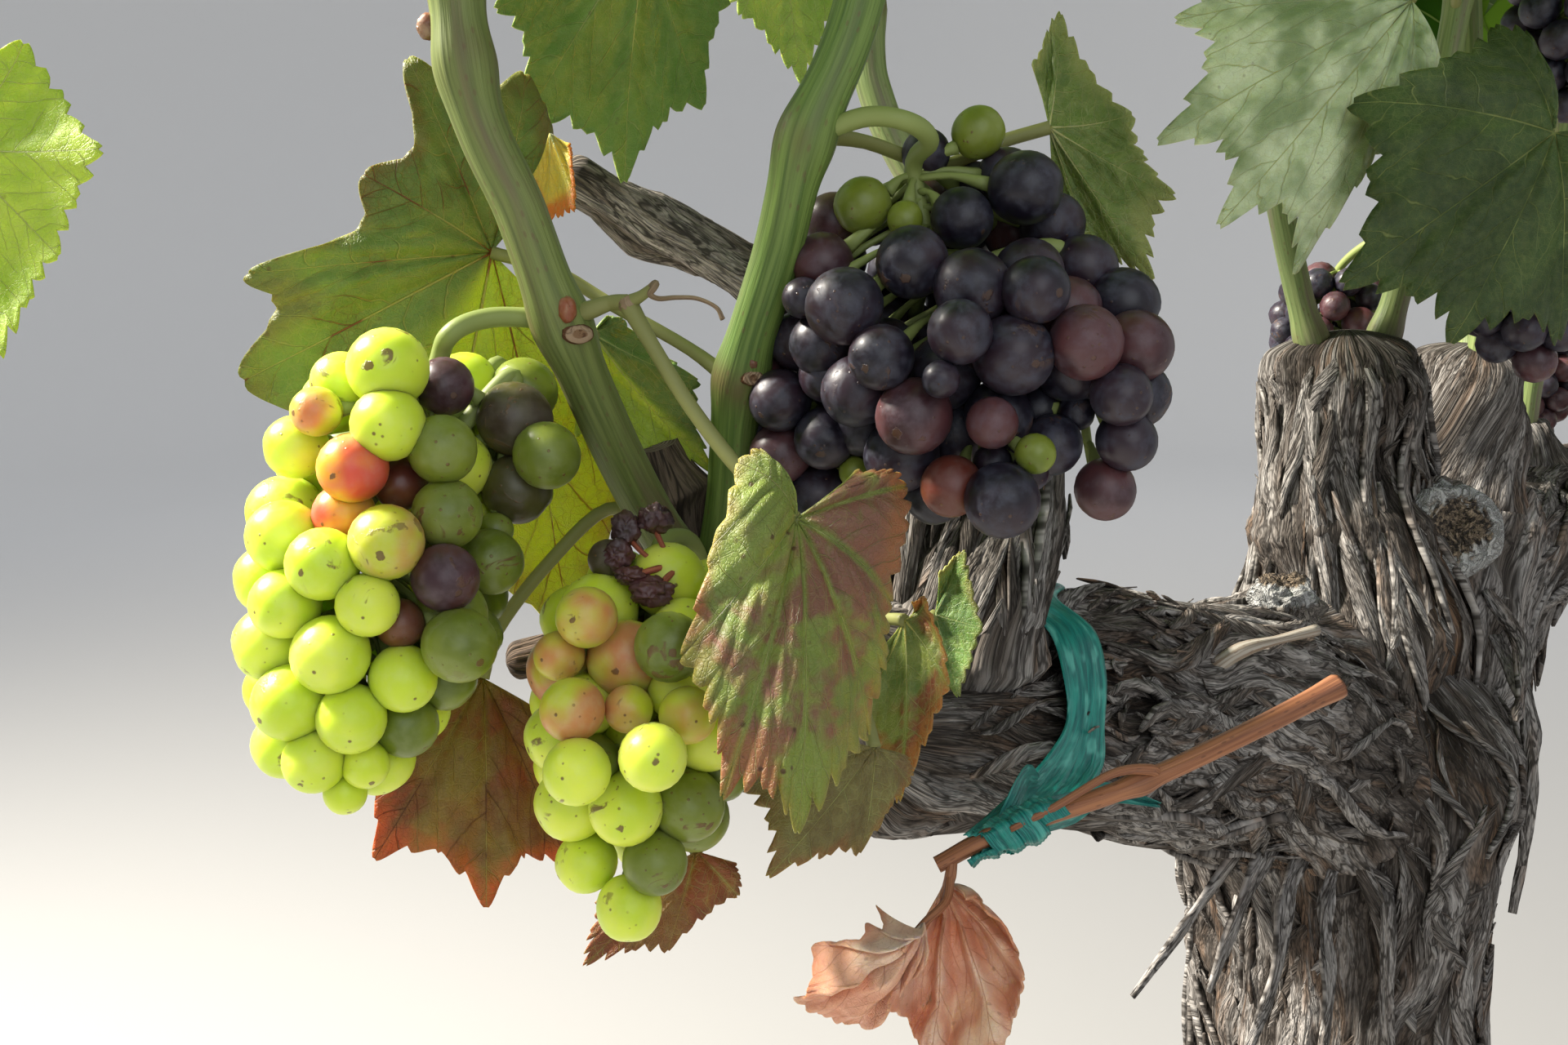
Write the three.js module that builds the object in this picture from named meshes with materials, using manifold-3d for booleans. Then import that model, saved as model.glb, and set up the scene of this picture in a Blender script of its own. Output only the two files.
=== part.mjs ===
// An old cordon-trained grapevine in late summer: a gnarled trunk from its flat cut at ground level, two level arms,
// short spurs of old wood on them, a year's green shoots that carry the leaves, and clusters of ripening grapes.
// Lengths are in millimetres, +Z is up and the arms run along X. The origin is the middle of the cut at the ground.
import * as THREE from "three";
import { mergeVertices } from "three/addons/utils/BufferGeometryUtils.js";
import Module from "manifold-3d";

const wasm = await Module();
wasm.setup();

// Driving dimensions
const seat = 0.3; // clear gap between pieces that meet
const trunkRadius = 54;
const headHeight = 800; // middle of the fork where the arms leave the trunk
const armRadius = 33;
const caneRadius = 5.2; // a green shoot at its foot
const caneTipRadius = 1.8;
const caneRise = 740; // a shoot's height over its spur
const internode = 62; // between two leaves on a shoot
const fruitZoneTop = 1052; // below this the leaves over the left arm have been pulled
const rightZoneTop = 985; // and over the right arm, where fewer were
const leafLength = 116; // from the end of the stalk to the tip of the middle lobe
const leafThickness = 3; // at the ribs, thinning to the edge
const stalkLength = 60;
const stalkRadius = 1.5;
const berryRadius = 9.8; // larger than life, because each stands for three or four
const berrySpacing = 0.94; // share of two berries' radii between their middles
const coreShare = 0.6; // how far a cluster's core reaches towards its skin
const goldenAngle = 2.39996;

// How a cane deals out its leaves
const lastLeaf = 0.985; // share of the cane's way
const wander = 1.1; // spread of the stalks' headings, in radians
const swingSpread = 0.9; // and of the blades' against their stalks
const hang = { least: 0.5, spread: 0.8 }; // how far below level a blade points, in radians
const leafSize = { least: 0.84, spread: 0.34, lessAtTip: 0.42 }; // shares of the leaf's length
const stalkSize = { least: 0.75, spread: 0.5, lessAtTip: 0.4 }; // and of the stalk's
const crown = { left: -640, right: 640, deep: 300, top: 1740 }; // the space that leaves may fill

// The five lobes of a leaf: [angle from the midrib in degrees, reach] of each tip
const lobes = [
  [-124, 0.62],
  [-58, 0.86],
  [0, 1],
  [58, 0.86],
  [124, 0.62],
];

const bark = { color: 0x6f6357, roughness: 0.95 };
const oldBark = { color: 0x8a8076, roughness: 0.95 };
const deadWood = { color: 0x4a4038, roughness: 0.9 };
const leafGreen = { color: 0x6f9437, roughness: 0.6 };
const leafYellow = { color: 0xa8b84a, roughness: 0.6 };
const leafBronze = { color: 0x8a5a34, roughness: 0.65 };
const dryLeaf = { color: 0xc98364, roughness: 0.8 };
const greenGrape = { color: 0xb4cc58, roughness: 0.4 };
const darkGrape = { color: 0x3a3240, roughness: 0.5 };
const tieGreen = { color: 0x1f8a72, roughness: 0.45 };
const dryCane = { color: 0xa85a34, roughness: 0.6 };

const vec = (x, y, z) => new THREE.Vector3(x, y, z);
const up = vec(0, 0, 1);

// Seeded numbers from 0 to 1, the same on every run.
function dice(seed) {
  let state = seed * 7919 + 17;
  return () => {
    state = (state * 16807) % 2147483647;
    return state / 2147483647;
  };
}

function solidOf(geometry) {
  const plain = geometry.clone();
  plain.deleteAttribute("normal");
  plain.deleteAttribute("uv");
  const merged = mergeVertices(plain, 1e-3);
  return new wasm.Manifold(
    new wasm.Mesh({
      numProp: 3,
      vertProperties: new Float32Array(merged.attributes.position.array),
      triVerts: new Uint32Array(merged.index.array),
    }),
  );
}

const joined = (solids) => wasm.Manifold.union(solids);

// The largest body of a solid, with edges too short to matter taken out.
function tidied(solid) {
  const bodies = solid.simplify(0.02).decompose();
  return bodies.reduce((a, b) => (b.volume() > a.volume() ? b : a));
}

const clearOf = (solid, neighbours) => tidied(neighbours.reduce((kept, cutter) => kept.subtract(cutter), solid));

function boxesMeet(a, b) {
  const [p, q] = [a.boundingBox(), b.boundingBox()];
  return [0, 1, 2].every((k) => p.min[k] < q.max[k] && q.min[k] < p.max[k]);
}

const touches = (solid, others) => others.some((o) => boxesMeet(solid, o) && solid.intersect(o).volume() > 0);

// The curve through a line of [x, y, z, radius] points, and the radius at any share of its way.
function course(line) {
  const curve = new THREE.CatmullRomCurve3(line.map(([x, y, z]) => vec(x, y, z)), false, "catmullrom", 0.5);
  const radius = (t) => {
    const at = Math.min(t * (line.length - 1), line.length - 1.000001);
    const i = Math.floor(at);
    return THREE.MathUtils.lerp(line[i][3], line[i + 1][3], at - i);
  };
  return { curve, radius };
}

// A limb: a closed tube along its line, with gnarled sides where gnarl is above 0. facing is never along the limb.
function limb({ line, sides = 6, rings = 8, gnarl = 0, facing = up, grow = 0, flat = 1 }) {
  const { curve, radius } = course(line);
  const tube = new THREE.CylinderGeometry(1, 1, 1, sides, rings);
  const position = tube.attributes.position;
  for (let i = 0; i < position.count; i++) {
    const t = position.getY(i) + 0.5;
    const tangent = curve.getTangent(t);
    const across = facing.clone().cross(tangent).normalize();
    const outward = across.clone().cross(tangent);
    const angle = Math.atan2(position.getZ(i), position.getX(i));
    const lumps = 1 + gnarl * (Math.sin(3 * angle + 9 * t) + 0.6 * Math.sin(2 * angle - 14 * t + 1));
    const r = radius(t) * lumps + grow;
    const point = curve
      .getPoint(t)
      .addScaledVector(across, position.getX(i) * (r * flat + grow * (1 - flat)))
      .addScaledVector(outward, position.getZ(i) * r)
      .addScaledVector(tangent, t === 0 ? -grow : t === 1 ? grow : 0);
    position.setXYZ(i, point.x, point.y, point.z);
  }
  return solidOf(tube);
}

// A leaf blade spread between the tips of its lobes, thickest at the ribs. The edge dips to a notch between two tips.
function blade({ at, tips, notch = 0.88, puff = 0.06, inner = false }) {
  const ribs = tips.map((tip) => tip.clone().sub(at));
  const rim = [];
  ribs.forEach((rib, i) => {
    rim.push(rib);
    if (i + 1 < ribs.length) rim.push(rib.clone().add(ribs[i + 1]).multiplyScalar(notch / 2));
  });
  const middle = ribs[Math.floor(ribs.length / 2)];
  rim.push(middle.clone().multiplyScalar(-0.12));
  const normal = vec(0, 0, 0);
  for (let i = 0; i + 1 < ribs.length; i++) normal.add(ribs[i].clone().cross(ribs[i + 1]));
  normal.normalize();
  const half = leafThickness / 2;
  const place = (rib, reach, lift) => at.clone().addScaledVector(rib, reach).addScaledVector(normal, lift);
  const points = [place(middle, 0, half), place(middle, 0, -half), ...rim.map((rib) => place(rib, 1, 0))];
  const n = rim.length;
  if (inner) {
    for (const side of [1, -1])
      for (const rib of rim) points.push(place(rib, 0.5, puff * rib.length() + side * half * 0.8));
  }
  const faces = [];
  for (let i = 0; i < n; i++) {
    const [a, b] = [2 + i, 2 + ((i + 1) % n)];
    if (inner) {
      const [c, d, e, f] = [a + n, b + n, a + 2 * n, b + 2 * n];
      faces.push(0, c, d, c, a, b, c, b, d, 1, f, e, e, b, a, e, f, b);
    } else faces.push(0, a, b, 1, b, a);
  }
  return new wasm.Manifold(
    new wasm.Mesh({
      numProp: 3,
      vertProperties: new Float32Array(points.flatMap((point) => point.toArray())),
      triVerts: new Uint32Array(faces),
    }),
  );
}

// The lobe tips of a leaf that lies along a direction, folded up along its midrib and drooping to its edge.
function tipsOf({ at, along, facing, length, fold = 0.1, droop = 0.3 }) {
  const across = facing.clone().cross(along).normalize();
  const normal = along.clone().cross(across);
  return lobes.map(([angle, reach]) => {
    const turn = THREE.MathUtils.degToRad(angle);
    const side = Math.sin(turn) * reach;
    return at
      .clone()
      .addScaledVector(along, Math.cos(turn) * reach * length)
      .addScaledVector(across, side * length)
      .addScaledVector(normal, (fold * Math.abs(side) - 0.5 * droop * reach * reach) * length);
  });
}

// A three-sided leaf stalk through the given points.
function stalk(points, radius = stalkRadius) {
  const line = points.map((p) => [p.x, p.y, p.z, radius]);
  return limb({ line, sides: 3, rings: points.length - 1, facing: vec(0.31, 0.87, 0.39) });
}

// A grape cluster's berries: dealt out down and round its axis by the golden angle, then eased apart.
function berriesOf({ top, foot, width, count, seed }) {
  const random = dice(seed);
  const axis = foot.clone().sub(top);
  const length = axis.length();
  axis.normalize();
  const across = vec(0.3, 1, 0.1).cross(axis).normalize();
  const outward = axis.clone().cross(across);
  const girth = (t) => 0.5 * width * 1.7 * Math.pow(Math.max(1 - t, 0), 0.55) * Math.pow(Math.max(t, 0), 0.28);
  const berries = [];
  for (let i = 0; i < count; i++) {
    const t = 0.04 + (0.92 * (i + 0.5)) / count;
    const turn = i * goldenAngle + 0.6 * random();
    const radius = berryRadius * (0.82 + 0.24 * random());
    const out = Math.max(girth(t) - radius, 0);
    const centre = top
      .clone()
      .addScaledVector(axis, t * length)
      .addScaledVector(across, Math.cos(turn) * out)
      .addScaledVector(outward, Math.sin(turn) * out);
    berries.push({ centre, radius });
  }
  for (let pass = 0; pass < 24; pass++) {
    for (let i = 0; i < count; i++)
      for (let j = i + 1; j < count; j++) {
        const [a, b] = [berries[i], berries[j]];
        const apart = b.centre.clone().sub(a.centre);
        const distance = apart.length();
        const wanted = berrySpacing * (a.radius + b.radius);
        if (distance >= wanted) continue;
        apart.multiplyScalar((0.5 * (wanted - distance)) / distance);
        a.centre.sub(apart);
        b.centre.add(apart);
      }
    for (const { centre, radius } of berries) {
      const down = THREE.MathUtils.clamp(centre.clone().sub(top).dot(axis), radius, length - radius);
      const onAxis = top.clone().addScaledVector(axis, down);
      const out = centre.clone().sub(onAxis);
      out.addScaledVector(axis, -out.dot(axis));
      const most = Math.max(girth(down / length) - radius, 1);
      if (out.length() > most) out.setLength(most);
      centre.copy(onAxis.add(out));
    }
  }
  return { berries, girth, axis, length };
}

// A cluster as one solid: its berries round a core that joins them, on a stalk from the shoot.
function cluster({ stem, others, ...shape }) {
  const { berries, girth, axis, length } = berriesOf(shape);
  const profile = [new THREE.Vector2(0, 0)];
  for (const t of [0.1, 0.45, 0.85]) profile.push(new THREE.Vector2(coreShare * girth(t), t * length));
  profile.push(new THREE.Vector2(0, 0.95 * length));
  const core = new THREE.LatheGeometry(profile, 5)
    .applyQuaternion(new THREE.Quaternion().setFromUnitVectors(vec(0, 1, 0), axis))
    .translate(shape.top.x, shape.top.y, shape.top.z);
  const solids = [solidOf(core)];
  berries.forEach(({ centre, radius }, i) => {
    const ball = new THREE.IcosahedronGeometry(radius, 0).rotateX(i).rotateZ(2 * i);
    const berry = solidOf(ball.translate(centre.x, centre.y, centre.z));
    if (!touches(berry, others)) solids.push(berry);
  });
  const inside = shape.top.clone().addScaledVector(axis, 0.3 * length);
  solids.push(stalk([...stem, shape.top, inside], 2.2));
  return joined(solids);
}

const model = new THREE.Group();
const solids = {}; // every finished solid by its node's name
const grown = {}; // each limb again, fuller by the seat, to cut what it carries

// Puts a finished solid into the model as a mesh of its own.
function show(name, solid, finish) {
  const { vertProperties, triVerts } = solid.getMesh();
  const geometry = new THREE.BufferGeometry();
  geometry.setAttribute("position", new THREE.BufferAttribute(new Float32Array(vertProperties), 3));
  geometry.setIndex(new THREE.BufferAttribute(new Uint32Array(triVerts), 1));
  geometry.computeVertexNormals();
  const mesh = new THREE.Mesh(geometry, new THREE.MeshStandardMaterial({ ...finish, metalness: 0 }));
  mesh.name = name;
  model.add(mesh);
  solids[name] = solid;
}

const all = () => Object.values(solids);
const grownOf = (names) => names.map((name) => grown[name]);

// A woody limb, cut clear of the limbs that carry it.
function addLimb(name, finish, shape, ...carriers) {
  grown[name] = limb({ ...shape, grow: seat });
  show(name, clearOf(limb(shape), grownOf(carriers)), finish);
}

// The trunk leans a little, flares at the root and widens to the fork. Its foot is cut flat at ground level.
const trunk = {
  line: [
    [4, 6, -40, 104],
    [2, 4, 20, 84],
    [-6, 3, 80, 63],
    [-18, 0, 200, trunkRadius],
    [-26, -5, 340, trunkRadius - 3],
    [-24, -9, 490, trunkRadius - 2],
    [-12, -7, 620, trunkRadius - 1],
    [-7, -4, 700, trunkRadius + 3],
    [-2, 1, headHeight - 40, 66],
    [0, 3, headHeight + 6, 58],
  ],
  sides: 12,
  rings: 17,
  gnarl: 0.11,
  facing: vec(0, 1, 0),
};
grown.trunk = limb({ ...trunk, grow: seat });
show("trunk", tidied(limb(trunk).trimByPlane([0, 0, 1], 0)), bark);

addLimb(
  "head_spur",
  bark,
  {
    line: [
      [0, 3, headHeight - 20, 44],
      [0, 4, headHeight + 26, 43],
      [-3, 9, headHeight + 70, 30],
      [-3, 11, headHeight + 92, 28],
      [-2, 11, headHeight + 118, 31],
      [-3, 11, headHeight + 137, 22],
    ],
    sides: 10,
    rings: 9,
    gnarl: 0.08,
    facing: vec(0, 1, 0),
  },
  "trunk",
);
addLimb(
  "head_burr",
  oldBark,
  {
    line: [
      [14, 2, headHeight + 58, 20],
      [19, -16, headHeight + 66, 24],
      [20, -27, headHeight + 69, 15],
    ],
    sides: 8,
    rings: 4,
    gnarl: 0.1,
  },
  "trunk",
  "head_spur",
);
addLimb(
  "arm_left",
  bark,
  {
    line: [
      [-20, 2, headHeight - 30, 40],
      [-66, 3, headHeight - 8, 46],
      [-106, 5, headHeight + 6, 42],
      [-150, 4, headHeight + 17, 36],
      [-196, 3, headHeight + 27, armRadius],
      [-246, 0, headHeight + 33, 29],
      [-292, 2, headHeight + 39, 22],
    ],
    sides: 10,
    rings: 12,
    gnarl: 0.08,
  },
  "trunk",
  "head_spur",
);
addLimb(
  "knuckle_left",
  bark,
  {
    line: [
      [-254, 2, 838, 20],
      [-249, 3, 862, 24],
      [-233, 10, 886, 23],
      [-219, 21, 906, 22],
      [-214, 28, 921, 15],
    ],
    sides: 10,
    rings: 7,
    gnarl: 0.09,
    facing: vec(0, 1, 0),
  },
  "arm_left",
);
addLimb(
  "old_cane",
  oldBark,
  {
    line: [
      [-222, 30, 910, 11],
      [-230, 40, 932, 11],
      [-244, 56, 946, 10],
      [-264, 66, 955, 9],
      [-289, 78, 968, 6.5],
      [-315, 84, 982, 5.5],
    ],
    sides: 7,
    rings: 8,
    gnarl: 0.05,
    facing: vec(0, 0.3, 1),
  },
  "knuckle_left",
);
addLimb(
  "spur_left",
  bark,
  {
    line: [
      [-276, 3, 838, 20],
      [-300, 7, 860, 19],
      [-318, 9, 878, 17],
      [-334, 9, 893, 13],
    ],
    sides: 9,
    rings: 6,
    gnarl: 0.07,
    facing: vec(0, 1, 0),
  },
  "arm_left",
  "knuckle_left",
);
addLimb(
  "stub_cut",
  deadWood,
  {
    line: [
      [-331, 16, 886, 6],
      [-336, 17, 900, 5.8],
      [-341, 17, 915, 5.6],
    ],
    sides: 8,
    rings: 2,
    facing: vec(0, 1, 0),
  },
  "spur_left",
);
addLimb(
  "stub_broken",
  deadWood,
  {
    line: [
      [-328, 14, 875, 10],
      [-348, 19, 871, 8],
      [-372, 33, 866, 4],
    ],
    sides: 7,
    rings: 4,
    gnarl: 0.12,
  },
  "spur_left",
);
addLimb(
  "arm_right",
  bark,
  {
    line: [
      [18, 2, headHeight - 22, 42],
      [62, 2, headHeight + 8, 46],
      [108, 2, headHeight + 30, 38],
      [170, 8, headHeight + 38, 34],
      [240, 12, headHeight + 38, 31],
      [330, 8, headHeight + 42, 28],
      [420, 3, headHeight + 48, 24],
      [486, 0, headHeight + 54, 17],
    ],
    sides: 10,
    rings: 16,
    gnarl: 0.08,
  },
  "trunk",
  "head_spur",
  "head_burr",
);

// Spurs on the right arm: [place along X, lean, height, radius] of each
const rightSpurs = [
  [92, -4, 96, 30],
  [206, 6, 56, 17],
  [318, -8, 54, 16],
  [432, 4, 50, 14],
];
rightSpurs.forEach(([x, lean, height, radius], i) => {
  const base = headHeight + 34;
  const line = [
    [x - 4, 8 - lean, base, radius * 1.25],
    [x, 8, base + height * 0.4, radius],
    [x + 2, 8 + lean, base + height * 0.75, radius * 0.86],
    [x + 3, 8 + 2 * lean, base + height, radius * 0.7],
  ];
  const shape = { line, sides: 9, rings: 5, gnarl: 0.09, facing: vec(0, 1, 0) };
  addLimb(`spur_right_${i + 1}`, bark, shape, "arm_right", "head_spur");
});

function inCrown(solid) {
  const { min, max } = solid.boundingBox();
  const floor = min[0] < 60 ? fruitZoneTop : rightZoneTop;
  const sides = min[0] > crown.left && max[0] < crown.right && min[1] > -crown.deep && max[1] < crown.deep;
  return sides && min[2] > floor && max[2] < crown.top;
}

// A cane's leaves, one at each internode and turned from side to side, fused to its stem as one solid.
// A leaf that would leave the crown's space or touch another piece is skipped.
function leafyCane({ name, seed, turn, from }) {
  const random = dice(seed);
  const { [name]: stem, ...rest } = solids;
  const curve = routes[name];
  const parts = [stem];
  const share = ({ least, spread, lessAtTip }, t) => (least + spread * random()) * (1 - lessAtTip * t * t);
  const steps = Math.floor(((lastLeaf - from) * curve.getLength()) / internode);
  for (let i = 0; i <= steps; i++) {
    const t = from + ((lastLeaf - from) * i) / steps;
    const heading = turn + (i % 2) * Math.PI + wander * (random() - 0.5);
    const below = hang.least + hang.spread * random();
    const swing = heading + swingSpread * (random() - 0.5);
    const length = leafLength * share(leafSize, t);
    const reach = stalkLength * share(stalkSize, t);
    const foot = curve.getPointAt(t);
    const out = vec(Math.cos(heading), Math.sin(heading), 0);
    const at = foot.clone().addScaledVector(out, reach * 0.92).addScaledVector(up, reach * 0.34);
    const level = vec(Math.cos(swing), Math.sin(swing), 0);
    const along = level.clone().multiplyScalar(Math.cos(below)).addScaledVector(up, -Math.sin(below));
    const facing = level.multiplyScalar(Math.sin(below)).addScaledVector(up, Math.cos(below));
    const sunk = at.clone().addScaledVector(along, leafThickness);
    const leaf = joined([stalk([foot, sunk]), blade({ at, tips: tipsOf({ at, along, facing, length }) })]);
    if (inCrown(leaf) && !touches(leaf, Object.values(rest))) parts.push(leaf);
  }
  show(name, tidied(joined(parts)), leafGreen);
}

const canes = [
  {
    name: "cane_left_front",
    line: [
      [-335, 8, 884],
      [-348, 6, 896],
      [-364, 1, 915],
      [-381, -3, 942],
      [-389, -1, 964],
      [-397, 5, 992],
      [-398, 8, 1050],
      [-410, -4, 1130],
      [-434, -38, 1290],
      [-464, -78, 1440],
      [-500, -122, 1590],
    ],
    seed: 3,
    turn: 1.9,
    carriers: ["spur_left", "stub_cut", "stub_broken"],
  },
  {
    name: "cane_left_back",
    line: [
      [-331, 4, 888],
      [-336, -3, 905],
      [-342, -13, 931],
      [-343, -25, 957],
      [-344, -34, 979],
      [-335, -40, 1006],
      [-326, -45, 1060],
      [-312, -60, 1160],
      [-296, -92, 1320],
      [-284, -124, 1480],
      [-276, -150, 1640],
    ],
    seed: 5,
    turn: 1.2,
    carriers: ["spur_left", "stub_cut"],
  },
  {
    name: "cane_knuckle",
    line: [
      [-214, 18, 902],
      [-208, 19, 930],
      [-214, 34, 965],
      [-227, 50, 1003],
      [-226, 57, 1040],
      [-220, 72, 1180],
      [-214, 96, 1340],
      [-206, 124, 1500],
      [-196, 150, 1660],
    ],
    seed: 8,
    turn: 1.5,
    carriers: ["knuckle_left", "old_cane"],
  },
  {
    name: "cane_head_back",
    line: [
      [-12, 16, 922],
      [-20, 22, 948],
      [-32, 30, 1000],
      [-52, 44, 1100],
      [-88, 66, 1260],
      [-118, 88, 1430],
      [-142, 108, 1610],
    ],
    seed: 11,
    turn: 1.8,
    carriers: ["head_spur"],
  },
  {
    name: "cane_head_front",
    line: [
      [4, 4, 922],
      [9, -2, 950],
      [14, -9, 1000],
      [14, -22, 1100],
      [4, -46, 1260],
      [-8, -78, 1430],
      [-18, -112, 1640],
    ],
    seed: 13,
    turn: 1.4,
    carriers: ["head_spur"],
  },
];
// Two canes on each spur of the right arm, which part and lean away from each other
rightSpurs.forEach(([x, lean, height], i) => {
  const top = headHeight + 34 + height;
  [-1, 1].forEach((side, j) => {
    const spread = (out, deep, rise) => [x + 3 + side * out, 8 + 2 * lean + side * deep, top + rise];
    canes.push({
      name: `cane_right_${2 * i + j + 1}`,
      line: [
        spread(4, 3, -14),
        spread(10, 8, 30),
        spread(17, 20, 160),
        spread(26, 50, 360),
        spread(36, 86, 550),
        spread(46, 122, caneRise - 24 * i - 20),
      ],
      seed: 17 + 4 * i + 2 * j,
      from: 0.16,
      turn: 1.2 + 0.35 * i,
      carriers: [`spur_right_${i + 1}`],
    });
  });
});

// The stems go in first, so that fruit and near leaves can be set clear of them.
const routes = {};
for (const { name, line, carriers } of canes) {
  const foot = line[0][2];
  const thinned = ([x, y, z]) => {
    const share = THREE.MathUtils.clamp((z - foot) / caneRise, 0, 1);
    return [x, y, z, THREE.MathUtils.lerp(caneRadius, caneTipRadius, share ** 1.5)];
  };
  const shape = { line: line.map(thinned), sides: 5, rings: 11, facing: vec(0.2, 1, 0) };
  grown[name] = limb({ ...shape, grow: seat });
  solids[name] = clearOf(limb(shape), grownOf(carriers));
  routes[name] = course(shape.line).curve;
}

// The point of a cane's middle at a height
function onCane(name, height) {
  let [low, high] = [0, 1];
  for (let i = 0; i < 30; i++) {
    const middle = (low + high) / 2;
    if (routes[name].getPoint(middle).z < height) low = middle;
    else high = middle;
  }
  return routes[name].getPoint(low);
}
const points = (list) => list.map((p) => (p.isVector3 ? p : vec(...p)));

// The cane held by the tie has died back to a bare stick, with one dried leaf at its low end.
addLimb("dead_cane", dryCane, {
  line: [
    [-318, -49, 826, 2.4],
    [-307, -58, 833, 2.6],
    [-280, -74, 841, 2.6],
    [-256, -88, 851, 2.6],
    [-235, -99, 860, 2.6],
  ],
  sides: 6,
  rings: 6,
});

// A flat tape laid once round the left arm, with both ends wrapped round the dead cane.
const wrap = [-303, -60, 834];
const tapeHalfWidth = 7;
const tapeLine = [[...wrap, 3]];
for (let angle = 15; angle <= 285; angle += 30) {
  const turn = THREE.MathUtils.degToRad(angle);
  const reach = armRadius + 3.8;
  const slant = 26 * Math.min(angle / 100, 1) - 0.06 * Math.max(angle - 100, 0);
  const [y, z] = [3 - Math.cos(turn) * reach, headHeight + 28 + Math.sin(turn) * reach];
  tapeLine.push([-231 + slant, y, z, tapeHalfWidth]);
}
tapeLine.push([...wrap, 3]);
const band = limb({ line: tapeLine, sides: 4, rings: 26, facing: vec(1, 0, 0), flat: 0.14 });
const sleeve = limb({
  line: [
    [-309, -56.5, 831.6, 4.6],
    [-297, -64, 836, 4.6],
  ],
  sides: 8,
  rings: 1,
});
show("tie_tape", clearOf(joined([band, sleeve]), grownOf(["dead_cane", "arm_left"])), tieGreen);

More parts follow.
